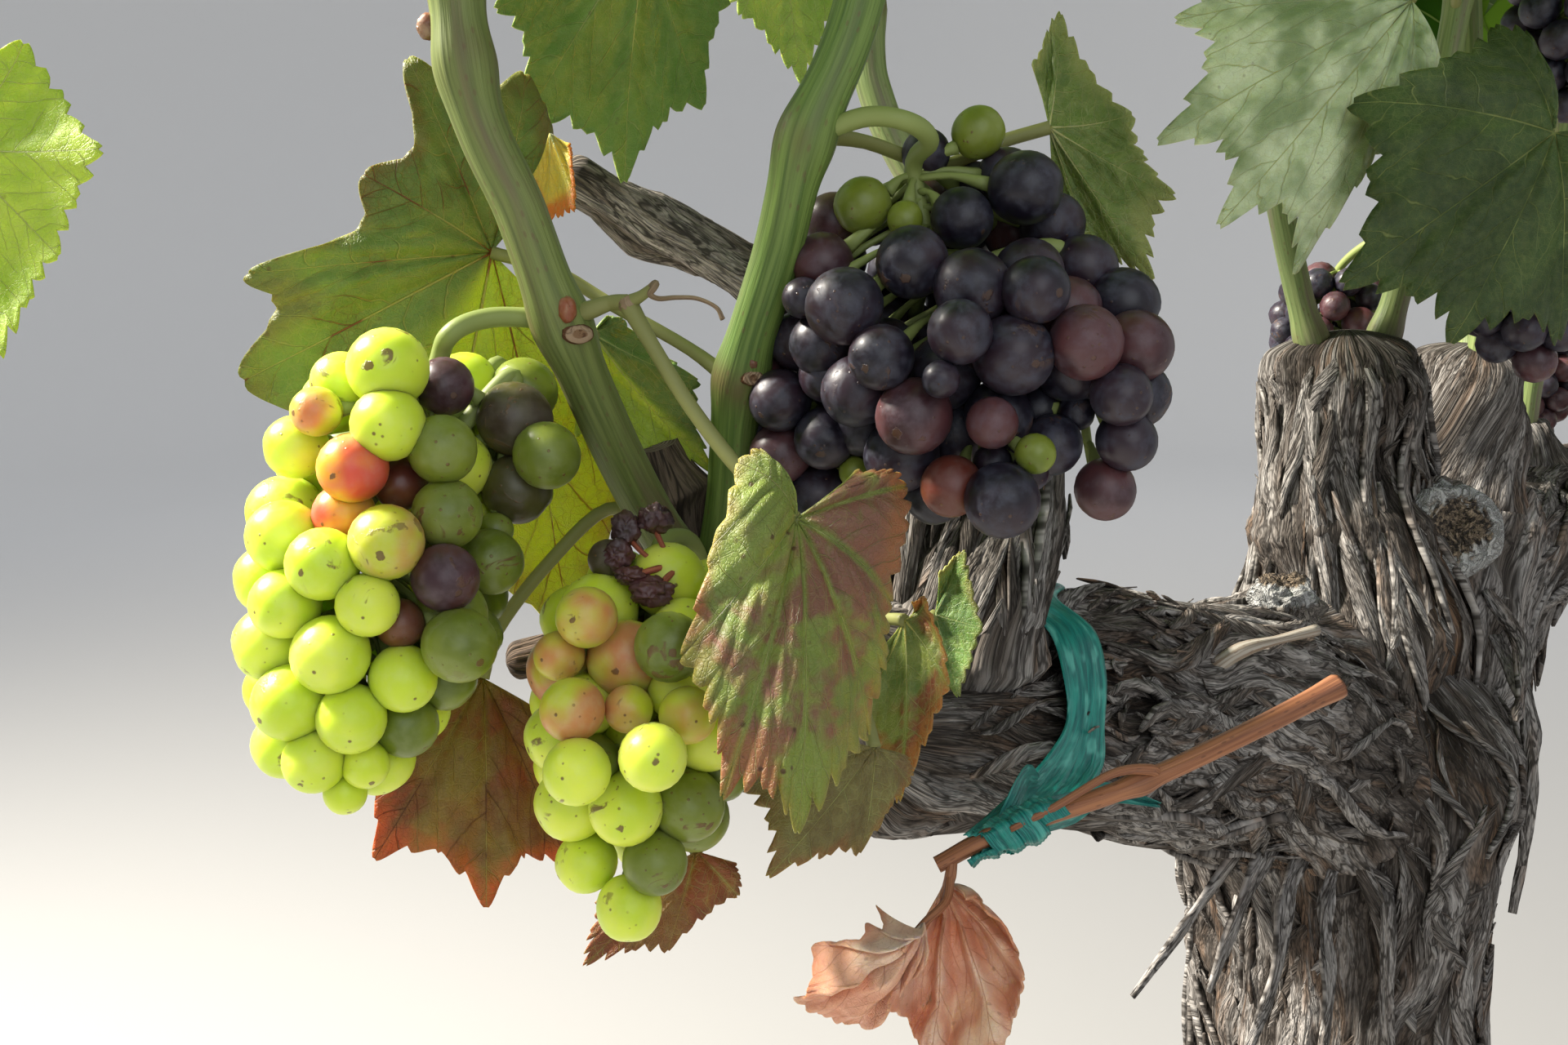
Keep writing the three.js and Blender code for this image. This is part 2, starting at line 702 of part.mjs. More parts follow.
// The leaves that stand near the fruit, each with its stalk: the points of the stalk, the stalk's end, the lobes' tips
const nearLeaves = [
  {
    name: "leaf_left_broad",
    finish: leafGreen,
    stem: [onCane("cane_left_back", 929), [-344, 1, 937], [-352, 19, 947], [-360, 28, 954]],
    at: [-371, 36, 958],
    tips: [
      [-355, 42, 997],
      [-384, 49, 997],
      [-418, 55, 952],
      [-420, 57, 929],
      [-355, 35, 870],
    ],
    carriers: ["cane_left_back"],
  },
  {
    name: "leaf_front",
    finish: leafYellow,
    stem: [onCane("cane_left_front", 943), [-375, -19, 945], [-373, -32, 929], [-370, -42, 915]],
    at: [-365, -52, 907],
    tips: [
      [-373, -46, 918],
      [-393, -52, 887],
      [-391, -68, 860],
      [-361, -66, 878],
      [-343, -60, 912],
    ],
    carriers: ["cane_left_front"],
  },
  {
    name: "leaf_bronze",
    finish: leafBronze,
    stem: [onCane("cane_left_front", 897), [-353, 19, 901], [-365, 26, 889], [-377, 29, 875]],
    at: [-381, 29, 865],
    tips: [
      [-399, 41, 863],
      [-408, 32, 848],
      [-405, 25, 830],
      [-391, 15, 819],
      [-372, 11, 824],
    ],
    carriers: ["cane_left_front", "stub_cut", "spur_left"],
  },
  {
    name: "leaf_folded",
    finish: leafBronze,
    stem: [[-298, 0, 862], [-300, -14, 872], [-302, -21, 874]],
    at: [-304, -27, 875],
    tips: [
      [-303, -33, 880],
      [-304, -40, 862],
      [-314, -35, 837],
      [-313, -19, 850],
    ],
    carriers: ["spur_left", "arm_left"],
  },
  {
    name: "leaf_folded_back",
    finish: leafGreen,
    stem: [[-281, 0, 852], [-283, -14, 868]],
    at: [-283, -19, 872],
    tips: [
      [-277, -23, 887],
      [-279, -30, 870],
      [-285, -28, 854],
      [-292, -18, 864],
    ],
    carriers: ["spur_left", "arm_left"],
  },
  {
    name: "leaf_low",
    finish: leafBronze,
    stem: [[-312, 2, 868], [-324, -24, 866], [-330, -38, 860]],
    at: [-332, -43, 854],
    tips: [
      [-362, -34, 850],
      [-364, -44, 835],
      [-340, -46, 834],
      [-325, -46, 845],
    ],
    carriers: ["spur_left"],
  },
  {
    name: "leaf_bottom",
    finish: leafBronze,
    stem: [[-330, 9, 878], [-345, 5, 850], [-355, -8, 838]],
    at: [-362, -20, 833],
    tips: [
      [-385, -12, 813],
      [-372, -22, 815],
      [-357, -27, 824],
    ],
    carriers: ["spur_left", "stub_broken"],
  },
  {
    name: "leaf_right",
    finish: leafGreen,
    stem: [onCane("cane_left_back", 980), [-325, -33, 980], [-308, -39, 976], [-297, -46, 981]],
    at: [-290, -54, 984],
    tips: [
      [-278, -48, 1009],
      [-280, -68, 986],
      [-281, -79, 969],
      [-286, -78, 952],
      [-287, -65, 955],
    ],
    carriers: ["cane_left_back"],
  },
  {
    name: "leaf_middle",
    finish: leafGreen,
    stem: [onCane("cane_left_front", 926), [-366, 11, 934]],
    at: [-354, 22, 940],
    tips: [
      [-343, 26, 943],
      [-331, 14, 929],
      [-331, 10, 909],
      [-347, 19, 913],
    ],
    carriers: ["cane_left_front", "stub_cut"],
  },
  {
    name: "leaf_top",
    finish: leafGreen,
    stem: [onCane("cane_knuckle", 1062), [-250, 66, 1068], [-278, 70, 1058]],
    at: [-299, 67, 1044],
    tips: [
      [-277, 54, 1030],
      [-285, 62, 999],
      [-304, 73, 979],
      [-329, 82, 993],
      [-333, 86, 1021],
    ],
    carriers: ["cane_knuckle"],
  },
  {
    name: "leaf_top_small",
    finish: leafYellow,
    stem: [onCane("cane_knuckle", 1040), [-255, 40, 1047], [-282, 24, 1044]],
    at: [-300, 16, 1034],
    tips: [
      [-290, 6, 1018],
      [-299, 11, 999],
      [-311, 19, 1014],
    ],
    carriers: ["cane_knuckle"],
  },
  {
    name: "leaf_far_left",
    finish: leafYellow,
    stem: [onCane("cane_left_front", 1078), [-425, 60, 1078], [-450, 105, 1040], [-456, 116, 1000]],
    at: [-454, 117, 980],
    tips: [
      [-464, 130, 1000],
      [-439, 113, 1003],
      [-432, 94, 980],
      [-441, 96, 957],
      [-452, 101, 936],
      [-472, 122, 950],
    ],
    carriers: ["cane_left_front"],
  },
  {
    name: "leaf_head_left",
    finish: leafGreen,
    stem: [onCane("cane_head_front", 1052), [-10, -24, 1064], [-32, -26, 1058]],
    at: [-48, -26, 1046],
    tips: [
      [-107, 25, 1040],
      [-125, 20, 999],
      [-113, 3, 973],
      [-96, -15, 957],
      [-63, -29, 998],
    ],
    carriers: ["cane_head_front"],
  },
  {
    name: "leaf_head_front",
    finish: leafGreen,
    stem: [onCane("cane_head_front", 1000), [-8, -42, 1014], [-30, -65, 1008]],
    at: [-46, -73, 1000],
    tips: [
      [-45, -53, 1035],
      [-88, -29, 1011],
      [-106, -37, 954],
      [-86, -61, 935],
      [-50, -80, 936],
      [-22, -96, 985],
    ],
    carriers: ["cane_head_front"],
  },
];
for (const { name, finish, stem, at, tips, carriers } of nearLeaves) {
  const end = vec(...at);
  const sheet = blade({ at: end, tips: points(tips), inner: true });
  show(name, clearOf(joined([stalk([...points(stem), end]), sheet]), grownOf(carriers)), finish);
}

// The clusters: how each hangs from a cane, where its berries begin and end, and how wide and full it is
const clusters = [
  {
    name: "cluster_left",
    finish: greenGrape,
    cane: "cane_left_front",
    stem: [onCane("cane_left_front", 943), [-391, 7, 943], [-399, 12, 938]],
    top: [-402, 13, 934],
    foot: [-429, 11, 843],
    width: 64,
    count: 18,
    seed: 3,
  },
  {
    name: "cluster_middle",
    finish: greenGrape,
    cane: "spur_left",
    near: ["cane_left_front"],
    stem: [[-334, 8, 886], [-352, -6, 893]],
    top: [-366, -13, 890],
    foot: [-390, -28, 822],
    width: 64,
    count: 15,
    seed: 4,
  },
  {
    name: "cluster_right",
    finish: darkGrape,
    cane: "cane_left_back",
    stem: [onCane("cane_left_back", 979), [-335, -42, 983], [-329, -49, 978]],
    top: [-326, -53, 972],
    foot: [-318, -72, 902],
    width: 78,
    count: 22,
    seed: 6,
  },
  {
    name: "cluster_right_back",
    finish: darkGrape,
    cane: "cane_left_back",
    stem: [onCane("cane_left_back", 933), [-331, -15, 944], [-325, -17, 945]],
    top: [-322, -17, 942],
    foot: [-324, -14, 896],
    width: 54,
    count: 10,
    seed: 7,
  },
];
// The rest hang from the canes of the head and the right arm: [cane, height of the stem on it, top of the berries]
const others = [
  ["cane_head_front", 1006, [2, -46, 988]],
  ["cane_right_1", 1092, [70, -36, 1080]],
  ["cane_right_2", 975, [112, 70, 962]],
  ["cane_right_3", 944, [205, -46, 930]],
  ["cane_right_6", 946, [345, 62, 932]],
  ["cane_right_7", 940, [430, -52, 926]],
];
others.forEach(([cane, height, top], i) => {
  const start = onCane(cane, height);
  const end = vec(...top);
  const bend = start.clone().lerp(end, 0.6).addScaledVector(up, 10);
  const foot = [top[0] + 5 * Math.sin(2 * i), top[1] + Math.sign(top[1]) * 8, top[2] - 66 - 4 * (i % 3)];
  const name = `cluster_${["head", "top", "rear_1", "front_1", "rear_2", "front_2"][i]}`;
  clusters.push({ name, finish: darkGrape, cane, stem: [start, bend], top, foot, width: 52, count: 8, seed: 9 + i });
});
for (const { name, finish, cane, near = [], stem, top, foot, ...shape } of clusters) {
  const [start, end] = [vec(...top), vec(...foot)];
  const solid = cluster({ stem: points(stem), top: start, foot: end, others: all(), ...shape });
  show(name, clearOf(solid, grownOf([cane, ...near])), finish);
}

// The dried leaf hangs crumpled from the dead cane's low end.
const dryAt = vec(-317, -50, 820);
const dryTips = [
  [-299, -61, 798],
  [-310, -62, 779],
  [-328, -54, 784],
  [-336, -40, 780],
  [-336, -24, 792],
];
const drySheet = blade({ at: dryAt, tips: points(dryTips), notch: 0.86, inner: true });
const drySolid = joined([stalk([vec(-315, -51, 827.5), vec(-316, -51, 824), dryAt]), drySheet]);
show("dry_leaf", clearOf(drySolid, grownOf(["dead_cane"])), dryLeaf);

// Last the canes' own leaves, wherever there is still room for them
for (const { name, seed, turn, from = 0.02 } of canes) leafyCane({ name, seed, turn, from });

export default model;
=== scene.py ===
import math
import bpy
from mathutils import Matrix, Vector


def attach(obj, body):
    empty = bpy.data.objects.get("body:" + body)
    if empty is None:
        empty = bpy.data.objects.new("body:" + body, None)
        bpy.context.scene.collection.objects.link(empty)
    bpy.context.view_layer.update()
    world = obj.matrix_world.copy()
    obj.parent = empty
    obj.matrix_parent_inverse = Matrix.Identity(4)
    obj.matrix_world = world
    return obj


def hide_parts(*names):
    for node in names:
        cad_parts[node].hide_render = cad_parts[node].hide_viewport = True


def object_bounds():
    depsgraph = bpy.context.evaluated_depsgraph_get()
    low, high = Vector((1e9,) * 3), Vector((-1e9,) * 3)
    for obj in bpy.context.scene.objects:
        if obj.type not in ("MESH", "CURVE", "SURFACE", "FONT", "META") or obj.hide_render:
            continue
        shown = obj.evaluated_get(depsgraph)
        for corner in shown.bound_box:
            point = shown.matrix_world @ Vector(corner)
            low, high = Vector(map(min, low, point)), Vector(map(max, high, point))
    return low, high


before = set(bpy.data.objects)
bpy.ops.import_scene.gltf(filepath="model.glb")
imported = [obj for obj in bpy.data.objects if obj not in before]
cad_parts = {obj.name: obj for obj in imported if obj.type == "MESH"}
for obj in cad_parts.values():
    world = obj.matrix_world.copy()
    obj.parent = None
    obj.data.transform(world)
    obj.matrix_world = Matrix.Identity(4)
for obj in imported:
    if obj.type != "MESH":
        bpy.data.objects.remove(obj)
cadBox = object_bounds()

from types import SimpleNamespace

import bmesh
import bpy
import numpy as np
from mathutils import Vector

# An old cordon-trained grapevine: bark, green shoots, leaves with their veins, and ripening grapes.
# Lengths in the dictionaries are millimetres, as in the model's own drawing; meshes are turned into metres.

perMetre = 1000
goldenAngle = 2.39996
headHeight = 800
scene = bpy.context.scene


# Small helpers

def dice(seed):  # the model's own seeded numbers
    state = seed * 7919 + 17
    while True:
        state = state * 16807 % 2147483647
        yield state / 2147483647


def unit(v):
    return v / np.maximum(np.linalg.norm(v, axis=-1, keepdims=True), 1e-9)


def smooth(x):
    x = np.clip(x, 0, 1)
    return x * x * (3 - 2 * x)


latticeSteps = np.array([374761393, 668265263, 1440662683])  # spread a grid point's hash over all bits
hashSpread = 1274126177


def noiseAt(points, seed=0):  # smooth noise from -1 to 1 on a grid of one unit
    cell = np.floor(points)
    share = points - cell
    share = share * share * (3 - 2 * share)
    cell = cell.astype(np.int64)
    total = np.zeros(len(points))
    for corner in range(8):
        step = np.array([corner & 1, corner >> 1 & 1, corner >> 2 & 1])
        mixed = (cell + step) @ latticeSteps + seed * 97531
        mixed = (mixed ^ (mixed >> 13)) * hashSpread
        mixed = mixed ^ (mixed >> 16)
        value = (mixed & 0xFFFF) / 32767.5 - 1
        total += value * np.prod(np.where(step, share, 1 - share), axis=1)
    return total


def along(line, t):  # points of the smooth curve through a line
    p = np.array(line, float)[:, :3]
    padded = np.vstack([2 * p[0] - p[1], p, 2 * p[-1] - p[-2]])
    at = np.clip(np.atleast_1d(np.asarray(t, float)), 0, 1) * (len(p) - 1)
    i = np.minimum(at.astype(int), len(p) - 2)
    w = (at - i)[:, None]
    a, b, c, d = (padded[i + k] for k in range(4))
    leave, reach = (c - a) / 2, (d - b) / 2
    return (2 * b - 2 * c + leave + reach) * w**3 + (3 * c - 3 * b - 2 * leave - reach) * w**2 + leave * w + b


def thickness(line, t):
    radii = [p[3] for p in line]
    return np.interp(np.atleast_1d(t) * (len(line) - 1), range(len(line)), radii)


def axes(line, t, facing):  # tangent, across and outward at each t
    t = np.atleast_1d(t)
    tangent = unit(along(line, t + 1e-3) - along(line, t - 1e-3))
    across = unit(np.cross(np.broadcast_to(np.array(facing, float), tangent.shape), tangent))
    return tangent, across, np.cross(across, tangent)


def spokesOf(line, t, facing, angle):  # tangent, and the way out of a limb at each angle round it
    tangent, across, outward = axes(line, t, facing)
    return tangent, across * np.cos(angle)[:, None] + outward * np.sin(angle)[:, None]


def wrapped(radius, angle, way):  # places in the grain: round the limb, then along it
    return np.stack([radius * np.cos(angle), radius * np.sin(angle), way], axis=1)


def wayAlong(line, t):  # arc length from the start to each t
    fine = np.linspace(0, 1, 201)
    steps = np.linalg.norm(np.diff(along(line, fine), axis=0), axis=1)
    return np.interp(t, fine, np.concatenate([[0], np.cumsum(steps)]))


def lengthOf(line):
    return wayAlong(line, 1.0)


def evenly(line, share):  # t at a share of the arc length
    fine = np.linspace(0, 1, 201)
    way = wayAlong(line, fine)
    return np.interp(np.asarray(share) * way[-1], way, fine)


def place(piece, slot, *nodes):
    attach(piece, "root")
    if nodes:
        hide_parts(*nodes)
    return piece


def newObject(name, data):
    made = bpy.data.objects.new(name, data)
    scene.collection.objects.link(made)
    return made


def addValues(mesh, attributes):  # one value or vector at each point
    for key, values in attributes.items():
        values = np.asarray(values, np.float32)
        kind, field = ("FLOAT_VECTOR", "vector") if values.ndim == 2 else ("FLOAT", "value")
        mesh.attributes.new(key, kind, "POINT").data.foreach_set(field, values.ravel())


def meshPiece(name, points, faces, materials, uv=None, which=None, **attributes):
    mesh = bpy.data.meshes.new(name)
    mesh.from_pydata((np.asarray(points) / perMetre).tolist(), [], [list(face) for face in faces])
    for material in materials:
        mesh.materials.append(material)
    addValues(mesh, attributes)
    if uv is not None:
        mesh.uv_layers.new(name="leaf").data.foreach_set("uv", np.asarray(uv, np.float32).ravel())
    if which is not None:
        mesh.polygons.foreach_set("material_index", np.asarray(which, np.int32))
    mesh.shade_smooth()
    return newObject(name, mesh)


def thicken(piece, thickness, offset=-1):
    solid = piece.modifiers.new("thickness", "SOLIDIFY")
    solid.thickness = thickness
    solid.offset = offset


def joinUp(parts):  # pairs of points and faces into one pair, faces moved on past the points before them
    points, faces, start = [], [], 0
    for p, f in parts:
        points.append(p)
        faces.append(np.asarray(f) + start)
        start += len(p)
    return np.vstack(points), np.vstack(faces)


# Wiring of materials

class Reading:  # what a socket gives, to be reckoned with in plain sums
    def __init__(self, wire, socket):
        self.wire, self.socket = wire, socket

    def __add__(self, other):
        return self.wire.maths("ADD", self, other)

    def __radd__(self, other):
        return self.wire.maths("ADD", other, self)

    def __sub__(self, other):
        return self.wire.maths("SUBTRACT", self, other)

    def __rsub__(self, other):
        return self.wire.maths("SUBTRACT", other, self)

    def __mul__(self, other):
        return self.wire.maths("MULTIPLY", self, other)

    def __abs__(self):
        return self.wire.maths("ABSOLUTE", self)

    def between(self, low, high):  # 0 at low, 1 at high, and smooth from one to the other
        inputs = {"Value": self, "From Min": low, "From Max": high}
        return self.wire.read("ShaderNodeMapRange", inputs, interpolation_type="SMOOTHSTEP")


class Wiring:
    def __init__(self, tree):
        self.nodes, self.links = tree.nodes, tree.links

    def feed(self, socket, value):
        if isinstance(value, Reading):
            self.links.new(value.socket, socket)
        elif value is not None:
            socket.default_value = (*value, 1) if socket.type == "RGBA" else value

    def add(self, kind, inputs=(), **settings):
        node = self.nodes.new(kind)
        for key, value in settings.items():
            setattr(node, key, value)
        for key, value in dict(inputs).items():
            self.feed(node.inputs[key], value)
        return node

    def read(self, kind, inputs=(), output=0, **settings):
        return Reading(self, self.add(kind, inputs, **settings).outputs[output])

    def maths(self, operation, a, b=0.0, clamp=False):
        return self.read("ShaderNodeMath", {0: a, 1: b}, operation=operation, use_clamp=clamp)

    def mixed(self, share, a, b):
        return self.read("ShaderNodeMix", {0: share, 6: a, 7: b}, 2, data_type="RGBA")

    def stretched(self, vector, scale):
        return self.read("ShaderNodeVectorMath", {0: vector, 1: scale}, operation="MULTIPLY")

    def noise(self, vector, scale, detail=3.0, roughness=0.55, distortion=0.0):
        inputs = {"Vector": vector, "Scale": scale, "Detail": detail, "Roughness": roughness}
        inputs["Distortion"] = distortion
        return self.read("ShaderNodeTexNoise", inputs, "Fac")

    def cells(self, vector, scale, feature="F1"):
        inputs = {"Vector": vector, "Scale": scale}
        return self.read("ShaderNodeTexVoronoi", inputs, "Distance", feature=feature)

    def measure(self, key):  # the place in the object, the place in the leaf, or the mesh's own values
        if key == "Place":
            return self.read("ShaderNodeTexCoord", (), "Object")
        if key == "Leaf":
            return self.read("ShaderNodeUVMap", (), "UV", uv_map="leaf")
        output = "Vector" if key == "Grain" else "Fac"
        return self.read("ShaderNodeAttribute", (), output, attribute_name=key.lower())


measured = ("Place", "Leaf", "Grain", "Relief", "Knot", "Pole")  # inputs that each object gives itself


def effect(name, build, **inputs):  # a node group; an input is a number, a colour or, as None, a vector
    group = bpy.data.node_groups.new(name, "ShaderNodeTree")
    for key, value in inputs.items():
        kind = "Vector" if value is None else "Float" if isinstance(value, float) else "Color"
        socket = group.interface.new_socket(name=key, in_out="INPUT", socket_type=f"NodeSocket{kind}")
        if value is not None:
            socket.default_value = (*value, 1) if kind == "Color" else value
    wire = Wiring(group)
    sockets = wire.add("NodeGroupInput").outputs
    made = build(wire, SimpleNamespace(**{key: Reading(wire, sockets[key]) for key in inputs}))
    for key in made:
        kind = "Color" if key == "Colour" else "Float"
        group.interface.new_socket(name=key, in_out="OUTPUT", socket_type=f"NodeSocket{kind}")
    ends = wire.add("NodeGroupOutput")
    for key, value in made.items():
        wire.feed(ends.inputs[key], value)
    return group


def newMaterial(name, roughness=0.5, specular=0.5):
    material = bpy.data.materials.new(name)
    material.use_nodes = True
    wire = Wiring(material.node_tree)
    shader = material.node_tree.nodes["Principled BSDF"]
    shader.inputs["Roughness"].default_value = roughness
    shader.inputs["Specular IOR Level"].default_value = specular
    return material, wire, shader


def dress(wire, shader, colour, height, distance, strength=1.0):  # colour and bump of a material
    wire.feed(shader.inputs["Base Color"], colour)
    inputs = {"Height": height, "Distance": distance, "Strength": strength}
    wire.feed(shader.inputs["Normal"], wire.read("ShaderNodeBump", inputs, "Normal"))


def skinMaterial(name, group, roughness, specular, depth, strength=1.0, through=(), **values):
    material, wire, shader = newMaterial(name, roughness, specular)
    node = wire.add("ShaderNodeGroup", node_tree=group)
    values.update({key: wire.measure(key) for key in node.inputs.keys() if key in measured})
    for key, value in values.items():
        wire.feed(node.inputs[key], value)
    made = {key: Reading(wire, socket) for key, socket in node.outputs.items()}
    dress(wire, shader, made["Colour"], made["Height"], depth, strength)
    wire.feed(shader.inputs["Roughness"], made.get("Rough"))
    for key, value in zip(("Weight", "Radius", "Scale"), through):  # light that wanders under the skin
        shader.inputs[f"Subsurface {key}"].default_value = value
    return material


# The photograph's viewpoint, floor and light

view = {
    "eye": (-0.566, -0.250, 0.947),
    "heading": math.radians(45),
    "down": math.radians(8.2),
    "lens": 35,
}
light = {
    "key": {"towards": (-0.42, 0.62, 0.66), "away": 2.6, "size": 0.4, "power": 310,
            "colour": (1, 0.94, 0.84)},
    "fill": {"towards": (-0.5, -0.75, 0.35), "away": 2.4, "size": 2.0, "power": 16,
             "colour": (0.88, 0.94, 1)},
    "world": 0.66,
    "sky": (0.93, 0.95, 1.0, 1),
    "middle": (-0.3, 0, 0.9),  # the point that the lamps face
}
floorValues = {
    "radius": 9.0, "curve": 3.0, "wall": 5.0, "steps": 12, "around": 64,
    "fade": (0.4, 7.0),  # the distances between which the floor turns pale
    "near": (0.42, 0.415, 0.40),  # darker close to the light
    "far": (0.82, 0.82, 0.81),
}


def setCamera():
    camera = bpy.data.cameras.new("camera")
    camera.lens = view["lens"]
    camera.sensor_width = 36
    camera.clip_start = 0.01
    camera.clip_end = 50
    scene.camera = newObject("camera", camera)
    scene.camera.location = view["eye"]
    level = Vector((math.sin(view["heading"]), math.cos(view["heading"]), 0)) * math.cos(view["down"])
    gaze = level - Vector((0, 0, math.sin(view["down"])))
    scene.camera.rotation_euler = gaze.to_track_quat("-Z", "Y").to_euler()


def setLight():
    middle = Vector(light["middle"])
    for name in ("key", "fill"):
        values = light[name]
        lamp = bpy.data.lights.new(name, "AREA")
        lamp.shape = "DISK"
        lamp.size = values["size"]
        lamp.energy = values["power"]
        lamp.color = values["colour"]
        holder = newObject(name, lamp)
        away = Vector(values["towards"]).normalized()
        holder.location = middle + away * values["away"]
        holder.rotation_euler = away.to_track_quat("Z", "Y").to_euler()
    world = bpy.data.worlds.new("studio")
    world.use_nodes = True
    background = world.node_tree.nodes["Background"]
    background.inputs["Color"].default_value = light["sky"]
    background.inputs["Strength"].default_value = light["world"]
    scene.world = world


def layFloor():  # a floor that curves up all round, so that no edge shows behind the plant
    radius, curve, steps = floorValues["radius"], floorValues["curve"], floorValues["steps"]
    turns = [k * math.pi / (2 * steps) for k in range(steps + 1)]
    profile = [(radius + curve * math.sin(turn), curve * (1 - math.cos(turn))) for turn in turns]
    profile.append((radius + curve, curve + floorValues["wall"]))
    bm = bmesh.new()
    row = [bm.verts.new((x, 0, z)) for x, z in [(0, 0)] + profile]
    edges = [bm.edges.new(pair) for pair in zip(row, row[1:])]
    turned = {"axis": (0, 0, 1), "cent": (0, 0, 0), "angle": 2 * math.pi}
    bmesh.ops.spin(bm, geom=row + edges, steps=floorValues["around"], use_merge=True, **turned)
    bmesh.ops.remove_doubles(bm, verts=bm.verts, dist=1e-4)
    bmesh.ops.recalc_face_normals(bm, faces=bm.faces)
    bmesh.ops.reverse_faces(bm, faces=bm.faces)
    mesh = bpy.data.meshes.new("floor")
    bm.to_mesh(mesh)
    bm.free()
    mesh.shade_smooth()
    material, wire, shader = newMaterial("floorPale", roughness=0.85, specular=0.2)
    away = wire.read("ShaderNodeVectorMath", {0: wire.measure("Place")}, "Value", operation="LENGTH")
    paleness = wire.mixed(away.between(*floorValues["fade"]), floorValues["near"], floorValues["far"])
    wire.feed(shader.inputs["Base Color"], paleness)
    mesh.materials.append(material)
    floor = newObject("floor", mesh)
    floor.location.z = -0.002


setCamera()
setLight()
layFloor()
scene.view_settings.view_transform = "Standard"
scene.view_settings.exposure = -0.15
print("camera, light and floor")


# Bark: long ropy strips that split, twist and lift

barkValues = {
    "strip": (7.5, 54, 3.9),  # width, length and depth of the broad strips
    "sliver": (3.6, 26, 1.9),
    "plate": (16, 60, 3.0),
    "fibre": (1.9, 13, 0.5),
    "swirl": 0.13,  # radians that the grain wanders
    "swirlSizes": (58, 23), "slip": 14, "slipSize": 34,  # and how far it slips along the limb
}
reliefUnit = 5  # the relief, in millimetres, that the skin reads as 1


def barkRelief(grain, seed):
    def scaled(width, length):
        return grain / np.array([width, width, length])

    strip, sliver, plate, fibre = (barkValues[k] for k in ("strip", "sliver", "plate", "fibre"))
    strips = np.sqrt(np.abs(noiseAt(scaled(*strip[:2]), seed)))
    slivers = np.sqrt(np.abs(noiseAt(scaled(*sliver[:2]), seed + 1)))
    ledges = np.floor(3 * noiseAt(scaled(*plate[:2]), seed + 2)) / 3
    fibres = noiseAt(scaled(*fibre[:2]), seed + 3)
    relief = strip[2] * (strips - 0.6) + sliver[2] * (slivers - 0.6) + plate[2] * (ledges + 0.17)
    return relief + fibre[2] * fibres


def barkSkin(wire, given):
    def ridged(scale, stretch, detail=3):  # 0 along thin winding lines that run with the grain
        lines = wire.noise(wire.stretched(given.Grain, (1, 1, stretch)), scale, detail, 0.6, 0.5)
        return abs(lines - 0.5) * 2.0

    ropes, threads, hairs = ridged(250, 0.17), ridged(620, 0.13), ridged(1500, 0.1, 2)
    patches = wire.noise(wire.stretched(given.Grain, (1, 1, 0.4)), 34, 3, 0.6)
    tone = wire.noise(wire.stretched(given.Grain, (1, 1, 0.2)), 210, 3, 0.6)
    # Colour follows the relief: the pale crests and the near-black colour of the deep grooves are partly the
    # bark's own tone and partly painted light and shade.
    level = wire.maths("ADD", given.Relief * 0.55 + 0.55, (tone - 0.5) * 1.1, clamp=True)
    wood = wire.mixed(level.between(0.0, 0.45), given.Furrow, given.Side)
    wood = wire.mixed(level.between(0.38, 0.85), wood, given.Crest)
    wood = wire.mixed(patches.between(0.48, 0.68) * tone.between(0.6, 0.4) * 0.7, wood, given.Warm)
    # Dark crack lines: partly their own dark, partly painted shade in them.
    crackShade = wire.maths("MAXIMUM", ropes.between(0.13, 0.01) * 0.9, threads.between(0.16, 0.0) * 0.6)
    wood = wire.mixed(crackShade, wood, given.Furrow)
    wood = wire.mixed(hairs.between(0.25, 0.55) * 0.35, wood, given.Crest)
    return {"Colour": wood, "Height": ropes.between(0.0, 0.5) + threads * 0.5 + hairs * 0.2}


# The near-black groove colour is partly painted shade in the bark's grooves.
barkEffect = effect(
    "barkGrain", barkSkin, Grain=None, Relief=0.0, Furrow=(0.020, 0.016, 0.013),
    Side=(0.130, 0.110, 0.094), Crest=(0.40, 0.375, 0.35), Warm=(0.27, 0.165, 0.10))


def barkMaterial(name, depth=0.0022, **colours):
    return skinMaterial(name, barkEffect, roughness=0.92, specular=0.2, depth=depth, **colours)


def sawnMaterial():  # the dry end of a pruned stub, in rings
    material, wire, shader = newMaterial("sawnWood", roughness=0.85, specular=0.2)
    inputs = {"Vector": wire.measure("Grain"), "Scale": 330.0, "Distortion": 2.5}
    rings = wire.read("ShaderNodeTexWave", inputs, "Fac", wave_type="RINGS", rings_direction="Z")
    share = rings * wire.noise(wire.measure("Place"), 400, 4)
    dress(wire, shader, wire.mixed(share, (0.10, 0.075, 0.055), (0.34, 0.28, 0.21)), share, 0.0006)
    return material


barkFinish = barkMaterial("barkGrey")
oldBarkFinish = barkMaterial("barkWeathered", Crest=(0.42, 0.375, 0.325), Side=(0.16, 0.128, 0.10))
deadFinish = barkMaterial("barkDead", depth=0.0009, Side=(0.12, 0.085, 0.06), Crest=(0.26, 0.20, 0.15))
sawnFinish = sawnMaterial()

